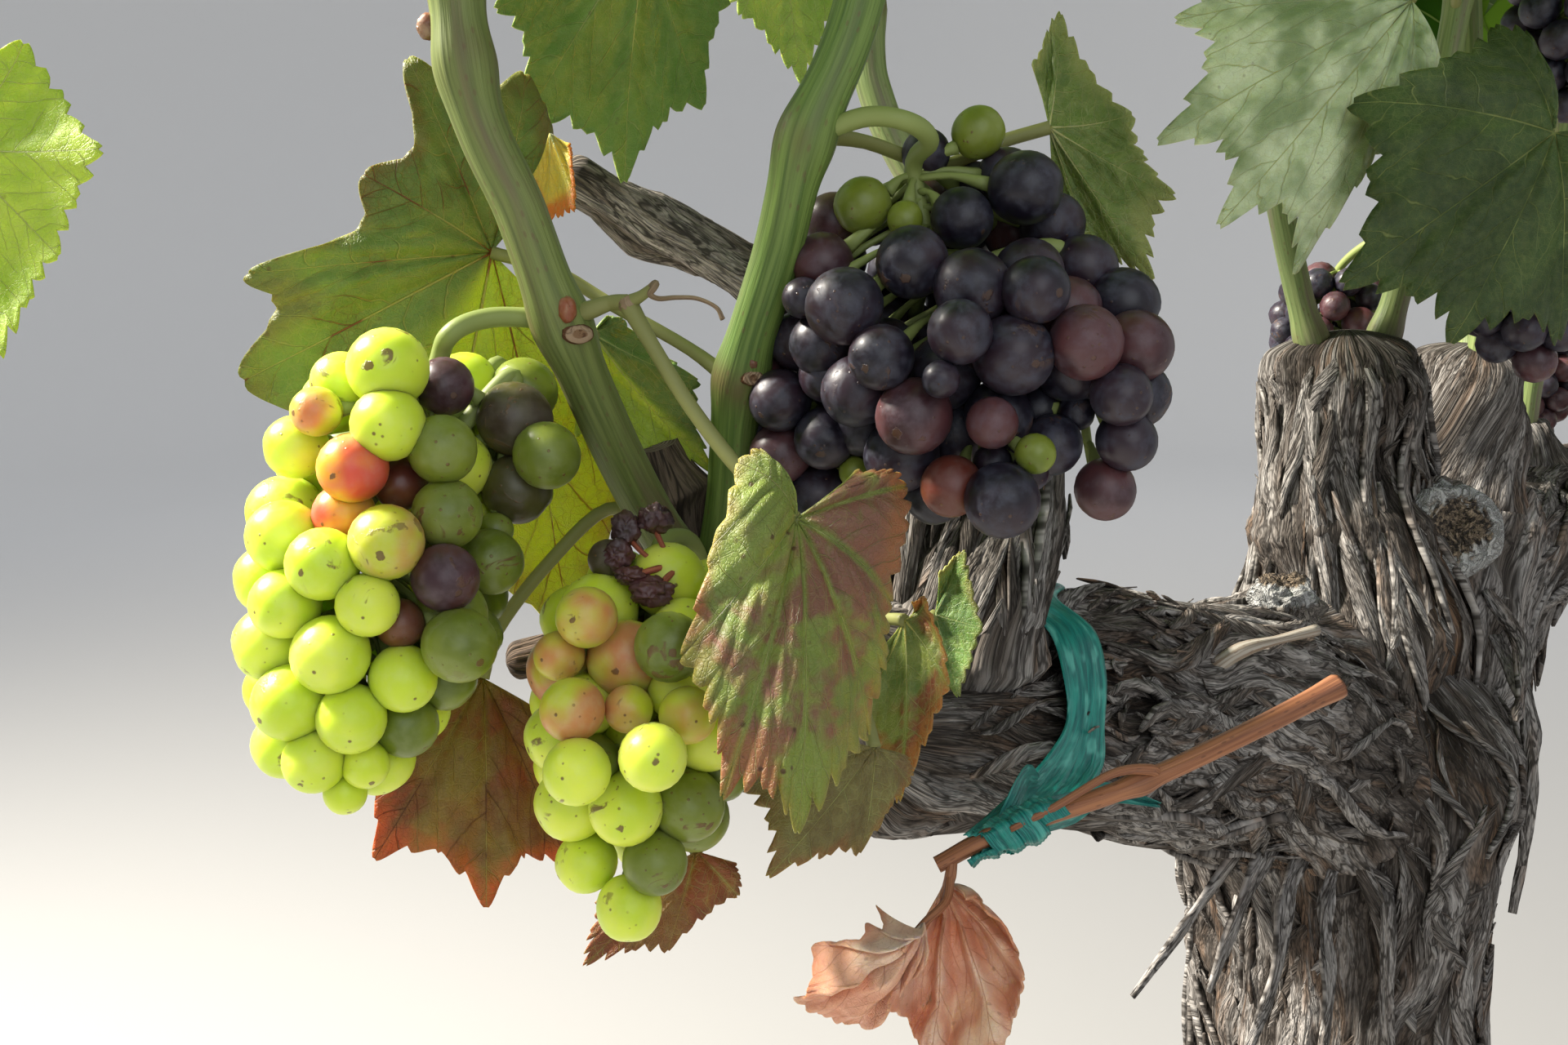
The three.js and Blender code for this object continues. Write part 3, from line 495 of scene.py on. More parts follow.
upward, sideways = (0, 0, 1), (0, 1, 0)
woods = {
    "trunk": {
        "line": [[4, 6, -40, 104], [2, 4, 20, 84], [-6, 3, 80, 63], [-18, 0, 200, 54], [-26, -5, 340, 51],
                 [-24, -9, 490, 52], [-12, -7, 620, 53], [-7, -4, 700, 57], [-2, 1, 760, 66],
                 [0, 3, 822, 54]],
        "gnarl": 0.11, "facing": sideways, "sides": 236, "rings": 290, "relief": 1.0, "twist": 0.0016,
        "round": 0.085, "shredsFrom": 0.09,
    },
    "head_spur": {
        "line": [[0, 3, 780, 44], [0, 4, 826, 43], [-3, 9, 870, 30], [-3, 11, 892, 28], [-2, 11, 918, 31],
                 [-3, 11, 937, 22]],
        "gnarl": 0.08, "facing": sideways, "sides": 170, "rings": 96, "relief": 0.95, "twist": -0.006,
        "round": 0.1,
    },
    "arm_left": {
        "line": [[-20, 2, 770, 40], [-66, 3, 792, 46], [-106, 5, 806, 42], [-150, 4, 817, 36],
                 [-196, 3, 827, 33], [-246, 0, 833, 29], [-292, 2, 839, 22]],
        "gnarl": 0.08, "facing": upward, "sides": 190, "rings": 170, "relief": 1.0, "twist": 0.004,
        "round": 0.04,
    },
    "knuckle_left": {
        "line": [[-254, 2, 838, 20], [-249, 3, 862, 24], [-233, 10, 886, 23], [-219, 21, 906, 22],
                 [-214, 28, 921, 15]],
        "gnarl": 0.09, "facing": sideways, "sides": 130, "rings": 76, "relief": 0.75, "twist": 0.008,
        "round": 0.12,
    },
    "spur_left": {
        "line": [[-276, 3, 838, 20], [-300, 7, 860, 19], [-318, 9, 878, 17], [-334, 9, 893, 13]],
        "gnarl": 0.07, "facing": sideways, "sides": 110, "rings": 64, "relief": 0.6, "twist": 0.006,
        "round": 0.12,
    },
    "old_cane": {
        "line": [[-222, 30, 910, 11], [-230, 40, 932, 10], [-239, 51, 942, 10.5], [-248, 58, 947.5, 8.5],
                 [-257, 62.5, 951, 10.5], [-267, 67.5, 956.5, 7], [-280, 74, 964, 6.4], [-291, 78.5, 969, 8],
                 [-303, 82, 976, 5.6], [-315, 84, 982, 6.6]],
        "gnarl": 0.13, "facing": (0, 0.3, 1), "sides": 84, "rings": 130, "relief": 0.42, "twist": 0.01,
        "round": 0.03,
    },
    "stub_cut": {
        "line": [[-331, 16, 886, 6], [-336, 17, 900, 5.8], [-341, 17, 915, 5.6]],
        "gnarl": 0, "facing": sideways, "sides": 56, "rings": 40, "relief": 0.16, "twist": 0,
    },
    "stub_broken": {
        "line": [[-328, 14, 875, 10], [-348, 19, 871, 8], [-372, 33, 866, 4]],
        "gnarl": 0.12, "facing": upward, "sides": 56, "rings": 60, "relief": 0.35, "twist": 0.01,
        "round": 0.05,
    },
    "arm_right": {
        "line": [[18, 2, 778, 42], [62, 2, 808, 46], [108, 2, 830, 38], [170, 8, 838, 34], [240, 12, 838, 31],
                 [330, 8, 842, 28], [420, 3, 848, 24], [486, 0, 854, 17]],
        "gnarl": 0.08, "facing": upward, "sides": 150, "rings": 200, "relief": 0.95, "twist": -0.004,
        "round": 0.04,
    },
}
rightSpurs = [[92, -4, 96, 30], [206, 6, 56, 17], [318, -8, 54, 16], [432, 4, 50, 14]]
for number, (x, lean, height, radius) in enumerate(rightSpurs):
    foot = headHeight + 34
    woods[f"spur_right_{number + 1}"] = {
        "line": [[x - 4, 8 - lean, foot, radius * 1.25], [x, 8, foot + height * 0.4, radius],
                 [x + 2, 8 + lean, foot + height * 0.75, radius * 0.86],
                 [x + 3, 8 + 2 * lean, foot + height, radius * 0.7]],
        "gnarl": 0.09, "facing": sideways, "sides": 100, "rings": 60, "relief": 0.6, "twist": 0.006,
        "round": 0.14,
    }
slots = {"old_cane": "old_bark", "stub_cut": "dead_wood", "stub_broken": "dead_wood"}  # the others: bark
finishes = {"bark": barkFinish, "old_bark": oldBarkFinish, "dead_wood": deadFinish}


def tube(name, sides, rings):  # a closed tube one unit round and one unit tall, to be bent along a limb
    bm = bmesh.new()
    bmesh.ops.create_cone(bm, cap_ends=True, cap_tris=False, segments=sides, radius1=1, radius2=1, depth=1)
    upright = [e for e in bm.edges if abs(e.verts[0].co.z - e.verts[1].co.z) > 0.5]
    bmesh.ops.subdivide_edges(bm, edges=upright, cuts=rings - 1, use_grid_fill=True)
    bmesh.ops.poke(bm, faces=[f for f in bm.faces if len(f.verts) > 4])
    mesh = bpy.data.meshes.new(name)
    bm.to_mesh(mesh)
    bm.free()
    return mesh


def limb(name, line, facing, sides, rings, ease=None):  # a tube, and what holds at its points along a line
    mesh = tube(name, sides, rings)
    shape = np.zeros(len(mesh.vertices) * 3)
    mesh.vertices.foreach_get("co", shape)
    shape = shape.reshape(-1, 3)
    t = 1 - (0.5 - shape[:, 2]) ** ease if ease else 0.5 + shape[:, 2]
    angle = np.arctan2(shape[:, 1], shape[:, 0])
    tangent, spoke = spokesOf(line, t, facing, angle)
    inward = np.linalg.norm(shape[:, :2], axis=1)  # 0 at the middle of a cap
    return SimpleNamespace(mesh=mesh, t=t, angle=angle, inward=inward, tangent=tangent, spoke=spoke,
                           middle=along(line, t), way=wayAlong(line, t))


def bendLimb(made, points, material, grain, **values):
    made.mesh.vertices.foreach_set("co", (points / perMetre).ravel())
    addValues(made.mesh, {"grain": grain / perMetre, **values})
    made.mesh.materials.append(material)


def limbPiece(name, mesh, slot, node):
    mesh.shade_smooth()
    return place(newObject(name, mesh), slot, node)


def endRound(t, share):  # 1 along the limb, falling to a rounded end over its last share
    if not share:
        return np.ones_like(t)
    return np.sqrt(np.clip(1 - np.clip((t - 1 + share) / share, 0, 0.995) ** 2, 0, 1))


def fillet(points, others, spread=15, swell=1.6):  # how far a limb swells where another one grows from it
    lift = np.zeros(len(points))
    for line in others:
        t = np.linspace(0, 1, 26)
        centres, radii = along(line, t), thickness(line, t)
        reach = min(spread, 0.7 * radii.max())
        gap = np.full(len(points), 1e9)
        for centre, radius in zip(centres, radii):
            gap = np.minimum(gap, np.linalg.norm(points - centre, axis=1) - radius)
        lift += np.clip(reach - np.abs(gap), 0, None) ** 2 / (4 * reach) * swell
    return lift


def gnarled(wood, angle, t):
    return 1 + wood["gnarl"] * (np.sin(3 * angle + 9 * t) + 0.6 * np.sin(2 * angle - 14 * t + 1))


def meanRadius(line):
    return float(np.mean([p[3] for p in line]))


def grainOf(surface, radius, angle, way, twist, seed):
    broad, small = barkValues["swirlSizes"]
    wander = barkValues["swirl"] * (noiseAt(surface / broad, seed) + 0.9 * noiseAt(surface / small, seed + 5))
    turned = angle + twist * way + wander
    wayOn = way + barkValues["slip"] * noiseAt(surface / barkValues["slipSize"], seed + 9)
    return wrapped(radius, turned, wayOn)


def cutLevel(mesh):  # the trunk ends in a flat cut at ground level
    bm = bmesh.new()
    bm.from_mesh(mesh)
    whole = bm.verts[:] + bm.edges[:] + bm.faces[:]
    cut = bmesh.ops.bisect_plane(bm, geom=whole, plane_co=(0, 0, 0), plane_no=(0, 0, 1), clear_inner=True)
    rim = [e for e in cut["geom_cut"] if isinstance(e, bmesh.types.BMEdge)]
    bmesh.ops.edgenet_fill(bm, edges=rim)
    bm.to_mesh(mesh)
    bm.free()


def growWood(name, wood, seed):
    line = wood["line"]
    made = limb(name, line, wood["facing"], wood["sides"], wood["rings"], ease=1.2)
    radius = thickness(line, made.t) * gnarled(wood, made.angle, made.t)
    surface = made.middle + made.spoke * radius[:, None]
    radius += fillet(surface, [w["line"] for key, w in woods.items() if key != name])
    grain = grainOf(surface, meanRadius(line), made.angle, made.way, wood["twist"], seed)
    relief = barkRelief(grain, seed) * wood["relief"]
    radius = (radius + relief) * endRound(made.t, wood.get("round", 0)) * made.inward
    if not wood.get("round"):  # a sawn end stays flat, only a little rough
        grain[made.inward < 0.5] = [0, 0, 0]
    slot = slots.get(name, "bark")
    points = made.middle + made.spoke * radius[:, None]
    bendLimb(made, points, finishes[slot], grain, relief=relief / reliefUnit)
    mesh = made.mesh
    if name == "stub_cut":
        mesh.materials.append(sawnFinish)
        capped = [any(made.inward[v] < 0.5 for v in f.vertices) and f.center.z > 0 for f in mesh.polygons]
        mesh.polygons.foreach_set("material_index", [int(cap) for cap in capped])
    if name == "trunk":
        cutLevel(mesh)
    return limbPiece(f"{name}_wood", mesh, slot, name)


for seed, (name, wood) in enumerate(woods.items()):
    growWood(name, wood, 20 + 7 * seed)
print("wood and bark")

# Torn strips that stand off the bark

shredKinds = {
    "torn": {
        "counts": {"trunk": 700, "arm_left": 400, "arm_right": 380, "head_spur": 190, "knuckle_left": 100},
        "length": (12, 44), "width": (1.6, 5.2), "lift": (0.2, 4.2), "thick": 0.35, "wander": 0.05,
        "sink": -1.2, "level": (-0.5, 0.4),
    },
    "ropes": {
        "counts": {"trunk": 210, "arm_left": 70, "arm_right": 76, "head_spur": 34, "knuckle_left": 14},
        "length": (34, 105), "width": (3.0, 7.0), "lift": (0.0, 2.4), "thick": 1.2, "wander": 0.14,
        "sink": 0.2, "level": (-0.2, 0.75),
    },
}


corners = [(1, 1), (-1, 1), (-1, -1), (1, -1)]  # of a strip's section: sideways and outward
cornerSides = np.array([aside for aside, _ in corners])


def boxStrips(middle, side, out, halfWidth, halfThick):  # closed strips, each from a row of stations
    count, stations = middle.shape[:2]
    rows = [middle + a * side * halfWidth[..., None] + b * out * halfThick[..., None] for a, b in corners]
    points = np.stack(rows, axis=2).reshape(-1, 3)
    faces = []
    for j in range(stations - 1):
        for k in range(4):
            faces.append([4 * j + k, 4 * j + (k + 1) % 4, 4 * j + 4 + (k + 1) % 4, 4 * j + 4 + k])
    last = 4 * (stations - 1)
    faces += [[3, 2, 1, 0], [last, last + 1, last + 2, last + 3]]
    whole = (np.array(faces)[None] + 4 * stations * np.arange(count)[:, None, None]).reshape(-1, 4)
    return points, whole


def growShreds(name, kind, seed):
    wood, values = woods[name], shredKinds[kind]
    line = wood["line"]
    random = np.random.default_rng(seed)
    stations = np.linspace(0, 1, 9)
    count = values["counts"][name]

    def drawn(low, high):  # one value for each strip
        return random.uniform(low, high, count)[:, None]

    length, width = drawn(*values["length"]), drawn(*values["width"])
    lift = drawn(*values["lift"]) * drawn(0.2, 1)
    turn = drawn(-math.pi, math.pi)
    heading = random.choice([-1, 1], count)[:, None]
    span = length / lengthOf(line)
    low = wood.get("shredsFrom", 0.02)
    start = low + (0.97 - low - span) * drawn(0, 1) + np.where(heading < 0, span, 0)
    t = start + heading * stations * span
    angle = turn + drawn(-0.25, 0.25) * stations
    angle = angle + values["wander"] * np.sin((4 + 2 * np.cos(turn)) * stations + 9 * turn)
    flatT, flatAngle = t.ravel(), angle.ravel()
    tangent, spoke = spokesOf(line, flatT, wood["facing"], flatAngle)
    base = thickness(line, flatT) * gnarled(wood, flatAngle, flatT) * endRound(flatT, wood.get("round", 0))
    rise = (values["sink"] + 1.6 * stations + lift * stations**2.2).ravel()
    middle = along(line, flatT) + spoke * (base + rise)[:, None]
    side = unit(np.cross(tangent, spoke))
    roll = (drawn(-0.8, 0.8) * stations).ravel()[:, None]
    tilted = side * np.cos(roll) + spoke * np.sin(roll)
    facing = np.cross(tilted, tangent)
    shape = (count, len(stations), 3)
    ragged = 1 + 0.3 * np.sin(7 * stations + 11 * turn)
    taper = np.sin(math.pi * (0.05 + 0.92 * stations)) ** 0.7 * ragged
    thick = np.broadcast_to(values["thick"] * (0.4 + 0.6 * taper), t.shape)
    directions = (middle.reshape(shape), tilted.reshape(shape), facing.reshape(shape))
    points, faces = boxStrips(*directions, 0.5 * width * taper, thick)
    mean = meanRadius(line)
    offset = np.repeat(random.uniform(0, 400, (count, 3)), 4 * len(stations), axis=0)
    aside = cornerSides * (0.5 * width * taper)[..., None]
    angles, ways = (angle[..., None] + aside / mean).ravel(), np.repeat(wayAlong(line, flatT), 4)
    grain = offset + wrapped(mean, angles, ways)
    level = np.repeat(random.uniform(*values["level"], count), 4 * len(stations))
    return points, faces, grain, level


def peel(line, seed, stations=26):  # one long pale strip that hangs off, its fourth value half its width
    t = np.linspace(0, 1, stations)
    _, across, outward = axes(line, t, (-0.7, -0.7, 0.1))
    half = thickness(line, t) * (1 + 0.3 * noiseAt(np.outer(t * 9, [1, 0, 0]) + seed, seed))
    turn = 0.8 * noiseAt(np.outer(t * 3, [0, 1, 0]) + seed, seed + 1)[:, None]
    side = across * np.cos(turn) + outward * np.sin(turn)
    out = outward * np.cos(turn) - across * np.sin(turn)
    points, faces = boxStrips(along(line, t)[None], side[None], out[None], half[None], 0.35 * half[None])
    way = np.repeat(wayAlong(line, t), 4)
    aside = (cornerSides * half[:, None]).ravel()
    grain = np.stack([aside + 40 * seed, np.full(len(way), 9.0 * seed), way], axis=1)
    return points, faces, grain, np.full(len(way), 0.5)


peeled = [
    [[-84, -8, 774, 2.4], [-107, -6, 759, 2.6], [-139, -6, 743, 1.7], [-168, -7, 731, 1.0]],
    [[-66, -8, 768, 2.6], [-98, -12, 757, 3.4], [-119, -14, 741, 2.2], [-131, -13, 722, 1.3]],
    [[-58, -14, 764, 2.4], [-87, -18, 748, 2.8], [-107, -24, 724, 2.0], [-126, -24, 700, 1.4]],
    [[-52, -20, 758, 2.4], [-80, -28, 742, 2.6], [-92, -36, 716, 2.2], [-96, -36, 690, 1.3]],
    [[-44, -28, 752, 2.6], [-62, -42, 738, 3.0], [-68, -46, 704, 2.2], [-66, -50, 676, 1.2]],
    [[30, -34, 838, 2.6], [22, -50, 822, 3.2], [4, -58, 806, 2.6], [-10, -62, 800, 1.6]],
    [[26, -40, 822, 2.4], [12, -58, 800, 3.0], [4, -64, 772, 2.4], [6, -62, 742, 1.3]],
    [[46, -30, 806, 2.4], [36, -46, 786, 3.0], [26, -56, 752, 2.4], [24, -54, 716, 1.2]],
]
groups = {"trunk": ["trunk"], "arms": ["arm_left", "arm_right"], "head": ["head_spur", "knuckle_left"]}
for number, (group, names) in enumerate(groups.items()):
    parts = [growShreds(name, kind, 300 + 100 * k + 10 * number + i)
             for k, kind in enumerate(shredKinds) for i, name in enumerate(names)]
    if group == "trunk":
        parts += [peel(line, k + 1) for k, line in enumerate(peeled)]
    points, faces = joinUp([(p, f) for p, f, _, _ in parts])
    grain = np.vstack([g for _, _, g, _ in parts])
    level = np.concatenate([r for _, _, _, r in parts])
    skin = {"grain": grain / perMetre, "relief": level}
    place(meshPiece(f"bark_shreds_{group}", points, faces, [barkFinish], **skin), "bark")
print("torn bark")


# Shoots: where each one runs, as in the model, and where it carries its leaves

caneRadius, caneTipRadius, caneRise, internode = 5.2, 1.8, 740, 62
canes = {
    "cane_left_front": {
        "line": [[-335, 8, 884], [-348, 6, 896], [-364, 1, 915], [-381, -3, 942], [-389, -1, 964],
                 [-397, 5, 992], [-398, 8, 1050], [-410, -4, 1130], [-434, -38, 1290], [-464, -78, 1440],
                 [-500, -122, 1590]],
        "seed": 3, "turn": 1.9, "from": 0.02, "joints": [943, 992], "sides": 30, "rings": 420,
    },
    "cane_left_back": {
        "line": [[-331, 4, 888], [-336, -3, 905], [-342, -13, 931], [-343, -25, 957], [-344, -34, 979],
                 [-335, -40, 1006], [-326, -45, 1060], [-312, -60, 1160], [-296, -92, 1320],
                 [-284, -124, 1480], [-276, -150, 1640]],
        "seed": 5, "turn": 1.2, "from": 0.02, "joints": [931, 979], "sides": 30, "rings": 420,
    },
    "cane_knuckle": {
        "line": [[-214, 18, 902], [-208, 19, 930], [-214, 34, 965], [-227, 50, 1003], [-226, 57, 1040],
                 [-220, 72, 1180], [-214, 96, 1340], [-206, 124, 1500], [-196, 150, 1660]],
        "seed": 8, "turn": 1.5, "from": 0.02,
    },
    "cane_head_back": {
        "line": [[-12, 16, 922], [-20, 22, 948], [-32, 30, 1000], [-52, 44, 1100], [-88, 66, 1260],
                 [-118, 88, 1430], [-142, 108, 1610]],
        "seed": 11, "turn": 1.8, "from": 0.02,
    },
    "cane_head_front": {
        "line": [[4, 4, 922], [9, -2, 950], [14, -9, 1000], [14, -22, 1100], [4, -46, 1260], [-8, -78, 1430],
                 [-18, -112, 1640]],
        "seed": 13, "turn": 1.4, "from": 0.02,
    },
}
for number, (x, lean, height, _) in enumerate(rightSpurs):
    top = headHeight + 34 + height
    for second, side in enumerate((-1, 1)):
        steps = [(4, 3, -14), (10, 8, 30), (17, 20, 160), (26, 50, 360), (36, 86, 550),
                 (46, 122, caneRise - 24 * number - 20)]
        line = [[x + 3 + side * out, 8 + 2 * lean + side * deep, top + rise] for out, deep, rise in steps]
        canes[f"cane_right_{2 * number + second + 1}"] = {
            "line": line, "seed": 17 + 4 * number + 2 * second, "turn": 1.2 + 0.35 * number, "from": 0.16}
for cane in canes.values():
    foot = cane["line"][0][2]
    for point in cane["line"]:
        share = min(max((point[2] - foot) / caneRise, 0), 1)
        point.append(caneRadius + (caneTipRadius - caneRadius) * share**1.5)


def onCane(name, height):
    low, high = 0.0, 1.0
    for _ in range(30):
        middle = (low + high) / 2
        if along(canes[name]["line"], middle)[0, 2] < height:
            low = middle
        else:
            high = middle
    return along(canes[name]["line"], low)[0]


lastLeaf, wander, swingSpread, leafLength, stalkLength = 0.985, 1.1, 0.9, 116, 60
lobes = [(-124, 0.62), (-58, 0.86), (0, 1), (58, 0.86), (124, 0.62)]
fruitZoneTop, rightZoneTop = 1052, 985
plainJointsFrom = 1010  # below this height a shoot's own list says where its joints are


def tipsOf(at, ahead, facing, length, fold=0.1, droop=0.3):
    across = unit(np.cross(facing, ahead))
    normal = np.cross(ahead, across)
    tips = []
    for degrees, reach in lobes:
        turn = math.radians(degrees)
        aside = math.sin(turn) * reach
        rise = fold * abs(aside) - 0.5 * droop * reach * reach
        tips.append(at + length * (ahead * math.cos(turn) * reach + across * aside + normal * rise))
    return np.array(tips)


def leafAt(foot, heading, below, swing, length, reach):
    out = np.array([math.cos(heading), math.sin(heading), 0])
    at = foot + out * reach * 0.92 + np.array([0, 0, reach * 0.34])
    level = np.array([math.cos(swing), math.sin(swing), 0])
    rise = np.array([0, 0, 1.0])
    ahead = level * math.cos(below) - rise * math.sin(below)
    facing = level * math.sin(below) + rise * math.cos(below)
    bend = (foot + at) / 2 + rise * reach * 0.07
    return {"stalk": [foot, bend, at + ahead * 1.5], "at": at, "tips": tipsOf(at, ahead, facing, length),
            "length": length}


cadLow, cadHigh = (np.array(corner) * perMetre for corner in cadBox)
crownRoom = np.array([18, 14, 25])


def inCrown(leaf):
    points = np.vstack([leaf["tips"], leaf["stalk"][0][None]])
    floor = fruitZoneTop if points[:, 0].min() < 60 else rightZoneTop
    inside = (points > cadLow - crownRoom).all() and (points < cadHigh + crownRoom).all()
    return inside and points[:, 2].min() > floor


def lateralFrom(foot, heading, share, extra):  # a side twig with four small leaves
    side = heading + math.pi + extra.uniform(-0.5, 0.5)
    out = np.array([math.cos(side), math.sin(side), 0])
    run = extra.uniform(70, 130) * (1 - 0.4 * share)
    lean = extra.uniform(0.35, 0.9)
    points = [foot + out * run * k * math.cos(lean) + np.array([0, 0, run * k * math.sin(lean)])
              + np.array([0, 0, -10 * k * k]) for k in (0, 0.33, 0.66, 1)]
    young = []
    for k in range(4):
        at = along(points, (k + 1) / 4)[0]
        turned = side + (1.25 if k % 2 else -1.25) + extra.uniform(-0.4, 0.4)
        below, swing = extra.uniform(0.5, 1.2), turned + extra.uniform(-0.5, 0.5)
        length, reach = extra.uniform(44, 74) * (1 - 0.3 * share), extra.uniform(16, 26)
        small = leafAt(at, turned, below, swing, length, reach)
        if inCrown(small):
            young.append({**small, "age": min(share + 0.25, 1)})
    return points, young


def dealLeaves():  # the model's leaves by its own rule, then laterals with smaller leaves
    leaves, laterals, joints = [], [], {}
    for name, cane in canes.items():
        random = dice(cane["seed"])
        line, start = cane["line"], cane["from"]
        length = lengthOf(line)
        steps = int((lastLeaf - start) * length / internode)
        extra = np.random.default_rng(cane["seed"] + 500)
        joints[name] = []
        for i in range(steps + 1):
            share = start + (lastLeaf - start) * i / steps
            heading = cane["turn"] + (i % 2) * math.pi + wander * (next(random) - 0.5)
            below = 0.5 + 0.8 * next(random)
            swing = heading + swingSpread * (next(random) - 0.5)
            size = leafLength * (0.84 + 0.34 * next(random)) * (1 - 0.42 * share * share)
            reach = stalkLength * (0.75 + 0.5 * next(random)) * (1 - 0.4 * share * share)
            foot = along(line, evenly(line, share))[0]
            if foot[2] > plainJointsFrom or "joints" not in cane:
                joints[name].append(share)
            leaf = leafAt(foot, heading, below, swing, size, reach)
            if inCrown(leaf):
                leaves.append({**leaf, "age": share})
            points, young = lateralFrom(foot, heading, share, extra)
            if len(young) >= 3 and foot[2] > fruitZoneTop:
                leaves += young
                laterals.append([[*p, 1.5 - 0.3 * k] for k, p in enumerate(points)])
        if "joints" in cane:
            fine = np.linspace(0, 1, 801)
            t = np.interp(cane["joints"], along(line, fine)[:, 2], fine)
            joints[name] += (wayAlong(line, t) / length).tolist()
    return leaves, laterals, joints


crownLeaves, laterals, caneJoints = dealLeaves()
print(len(crownLeaves), "leaves and", len(laterals), "laterals in the crown")


# The leaf: spokes from the stalk's end, a rim that dips between lobes, and teeth that lean to the next tip

def ribShares(u, count):  # how much of each rib a spoke at u takes
    shares = np.zeros((len(u), count + 2))
    i = np.minimum(u.astype(int), count - 2)
    s = u - i
    curve = (-0.5 * s**3 + s * s - 0.5 * s, 1.5 * s**3 - 2.5 * s * s + 1,
             -1.5 * s**3 + 2 * s * s + 0.5 * s, 0.5 * s**3 - 0.5 * s * s)
    for k, share in enumerate(curve):
        shares[np.arange(len(u)), i + k] += share
    shares[:, 1] += 2 * shares[:, 0]
    shares[:, 2] -= shares[:, 0]
    shares[:, -2] += 2 * shares[:, -1]
    shares[:, -3] -= shares[:, -1]
    return shares[:, 1:-1]


sideVeins, toothRise = 6, 0.26


def leafPattern(tips, spokes, rings, teeth, bite, sinus, notch=0.85, curved=True):
    sectors = tips + 1
    u = np.arange(sectors * spokes + 1) / spokes
    sector = np.minimum(u.astype(int), sectors - 1)
    w = u - sector
    inner = (sector > 0) & (sector < sectors - 1)
    near = np.minimum(w, 1 - w)
    dip = np.where(inner, np.broadcast_to(sinus, sectors)[sector], 0.05) * np.sin(math.pi * w) ** notch
    size = 0.65 + 0.6 * np.abs(np.sin(7.3 * np.round(u * teeth) + 1.7))
    if curved:  # each tooth rises steeply on the tip's side and falls in a long curve on the other
        step = (near * teeth + 0.13) % 1
        fall = (np.clip(step - toothRise, 0, 1) / (1 - toothRise)) ** 1.7
        tooth = size * (2 * np.where(step < toothRise, step / toothRise, 1 - fall) - 1) * bite
    else:
        tooth = size * (1 - 2 * ((near * teeth) % 1)) * bite
    levels = np.array(rings, float)
    shares = ribShares(u, sectors + 1)
    v = np.repeat(levels, len(u))
    across = np.tile(near * 2, len(levels))
    reach = v * np.tile(1 - dip, len(levels)) * (1 + np.tile(tooth, len(levels)) * v**7)
    weights = np.vstack([np.zeros(sectors + 1), np.tile(shares, (len(levels), 1)) * reach[:, None]])
    puff = 4 * v * (1 - v)
    pleat = v * (smooth(across * 1.4) - 0.5) * (1 - 0.4 * v)
    row = sideVeins * v * (1 - 0.55 * across + 0.1 * across**2)
    ripple = v * smooth(across * 4) * (0.5 + 0.5 * np.cos(2 * math.pi * row)) * (1 - v**6)
    lifts = [np.concatenate([[0], k]) for k in (puff, pleat, -ripple)]
    n = len(u)
    triangles = [[0, 1 + j, 2 + j] for j in range(n - 1)]
    quads = [[1 + n * r + j, 1 + n * (r + 1) + j, 2 + n * (r + 1) + j, 2 + n * r + j]
             for r in range(len(levels) - 1) for j in range(n - 1)]
    lobeAt = np.concatenate([[0], np.tile(u, len(levels))]) - 1
    reachAt = np.concatenate([[0], v])
    uv = []
    for face in triangles + quads:
        corner = [lobeAt[k] for k in face]
        if face[0] == 0:
            corner[0] = (corner[1] + corner[2]) / 2
        uv += [(c, reachAt[k]) for c, k in zip(corner, face)]
    return {"weights": weights, "lifts": lifts, "faces": triangles + quads, "uv": uv, "reach": reachAt}


def spin(vector, axis, angle):
    c, s = math.cos(angle), math.sin(angle)
    return vector * c + np.cross(axis, vector) * s + axis * np.dot(axis, vector) * (1 - c)


def ribsOf(at, tips, bases=((30, 0.62), (30, 0.62))):  # the lobes' ribs with a basal edge at each end
    ribs = np.array(tips, float) - np.array(at, float)
    normal = unit(np.sum(np.cross(ribs[:-1], ribs[1:]), axis=0))
    (firstTurn, firstShare), (lastTurn, lastShare) = bases
    first = spin(ribs[0], normal, -math.radians(firstTurn)) * firstShare
    last = spin(ribs[-1], normal, math.radians(lastTurn)) * lastShare
    return np.vstack([first, ribs, last]), normal


plainSpokes = 8
plainLeaf = leafPattern(5, plainSpokes, rings=(0.5, 1), teeth=4, bite=0.075, sinus=0.2, curved=False)
ribWidth = 0.0085  # half the width of a pale rib, as a share of the leaf's length


def plainLeaves(leaves, puff=0.07, pleat=0.05):  # many leaves as one, with a pale rib down each lobe
    points, faces, which = [], [], []
    count = len(plainLeaf["weights"])
    rimStart = (count - 1) // 2
    start = 0
    for leaf in leaves:
        ribs, normal = ribsOf(leaf["at"], leaf["tips"])
        scale = leaf["length"]
        lift = scale * (puff * plainLeaf["lifts"][0] + pleat * plainLeaf["lifts"][1])
        sheet = leaf["at"] + plainLeaf["weights"] @ ribs + normal * lift[:, None]
        points.append(sheet)
        faces += [[k + start for k in face] for face in plainLeaf["faces"]]
        which += [0] * len(plainLeaf["faces"])
        start += count
        for rib in range(plainSpokes, 6 * plainSpokes, plainSpokes):
            root, half, tip = sheet[0], sheet[1 + rib], sheet[1 + rimStart + rib]
            aside = unit(np.cross(tip - root, normal)) * scale * ribWidth
            for lifted in (0.5, -0.5):  # on the upper face and on the lower one
                rise = normal * lifted
                corners = [root + rise, half + aside + rise, tip + rise * 0.4, half - aside + rise]
                points.append(np.array(corners))
            faces += [[start, start + 1, start + 2, start + 3], [start + 7, start + 6, start + 5, start + 4]]
            which += [1, 1]
            start += 8
    return np.vstack(points), faces, which


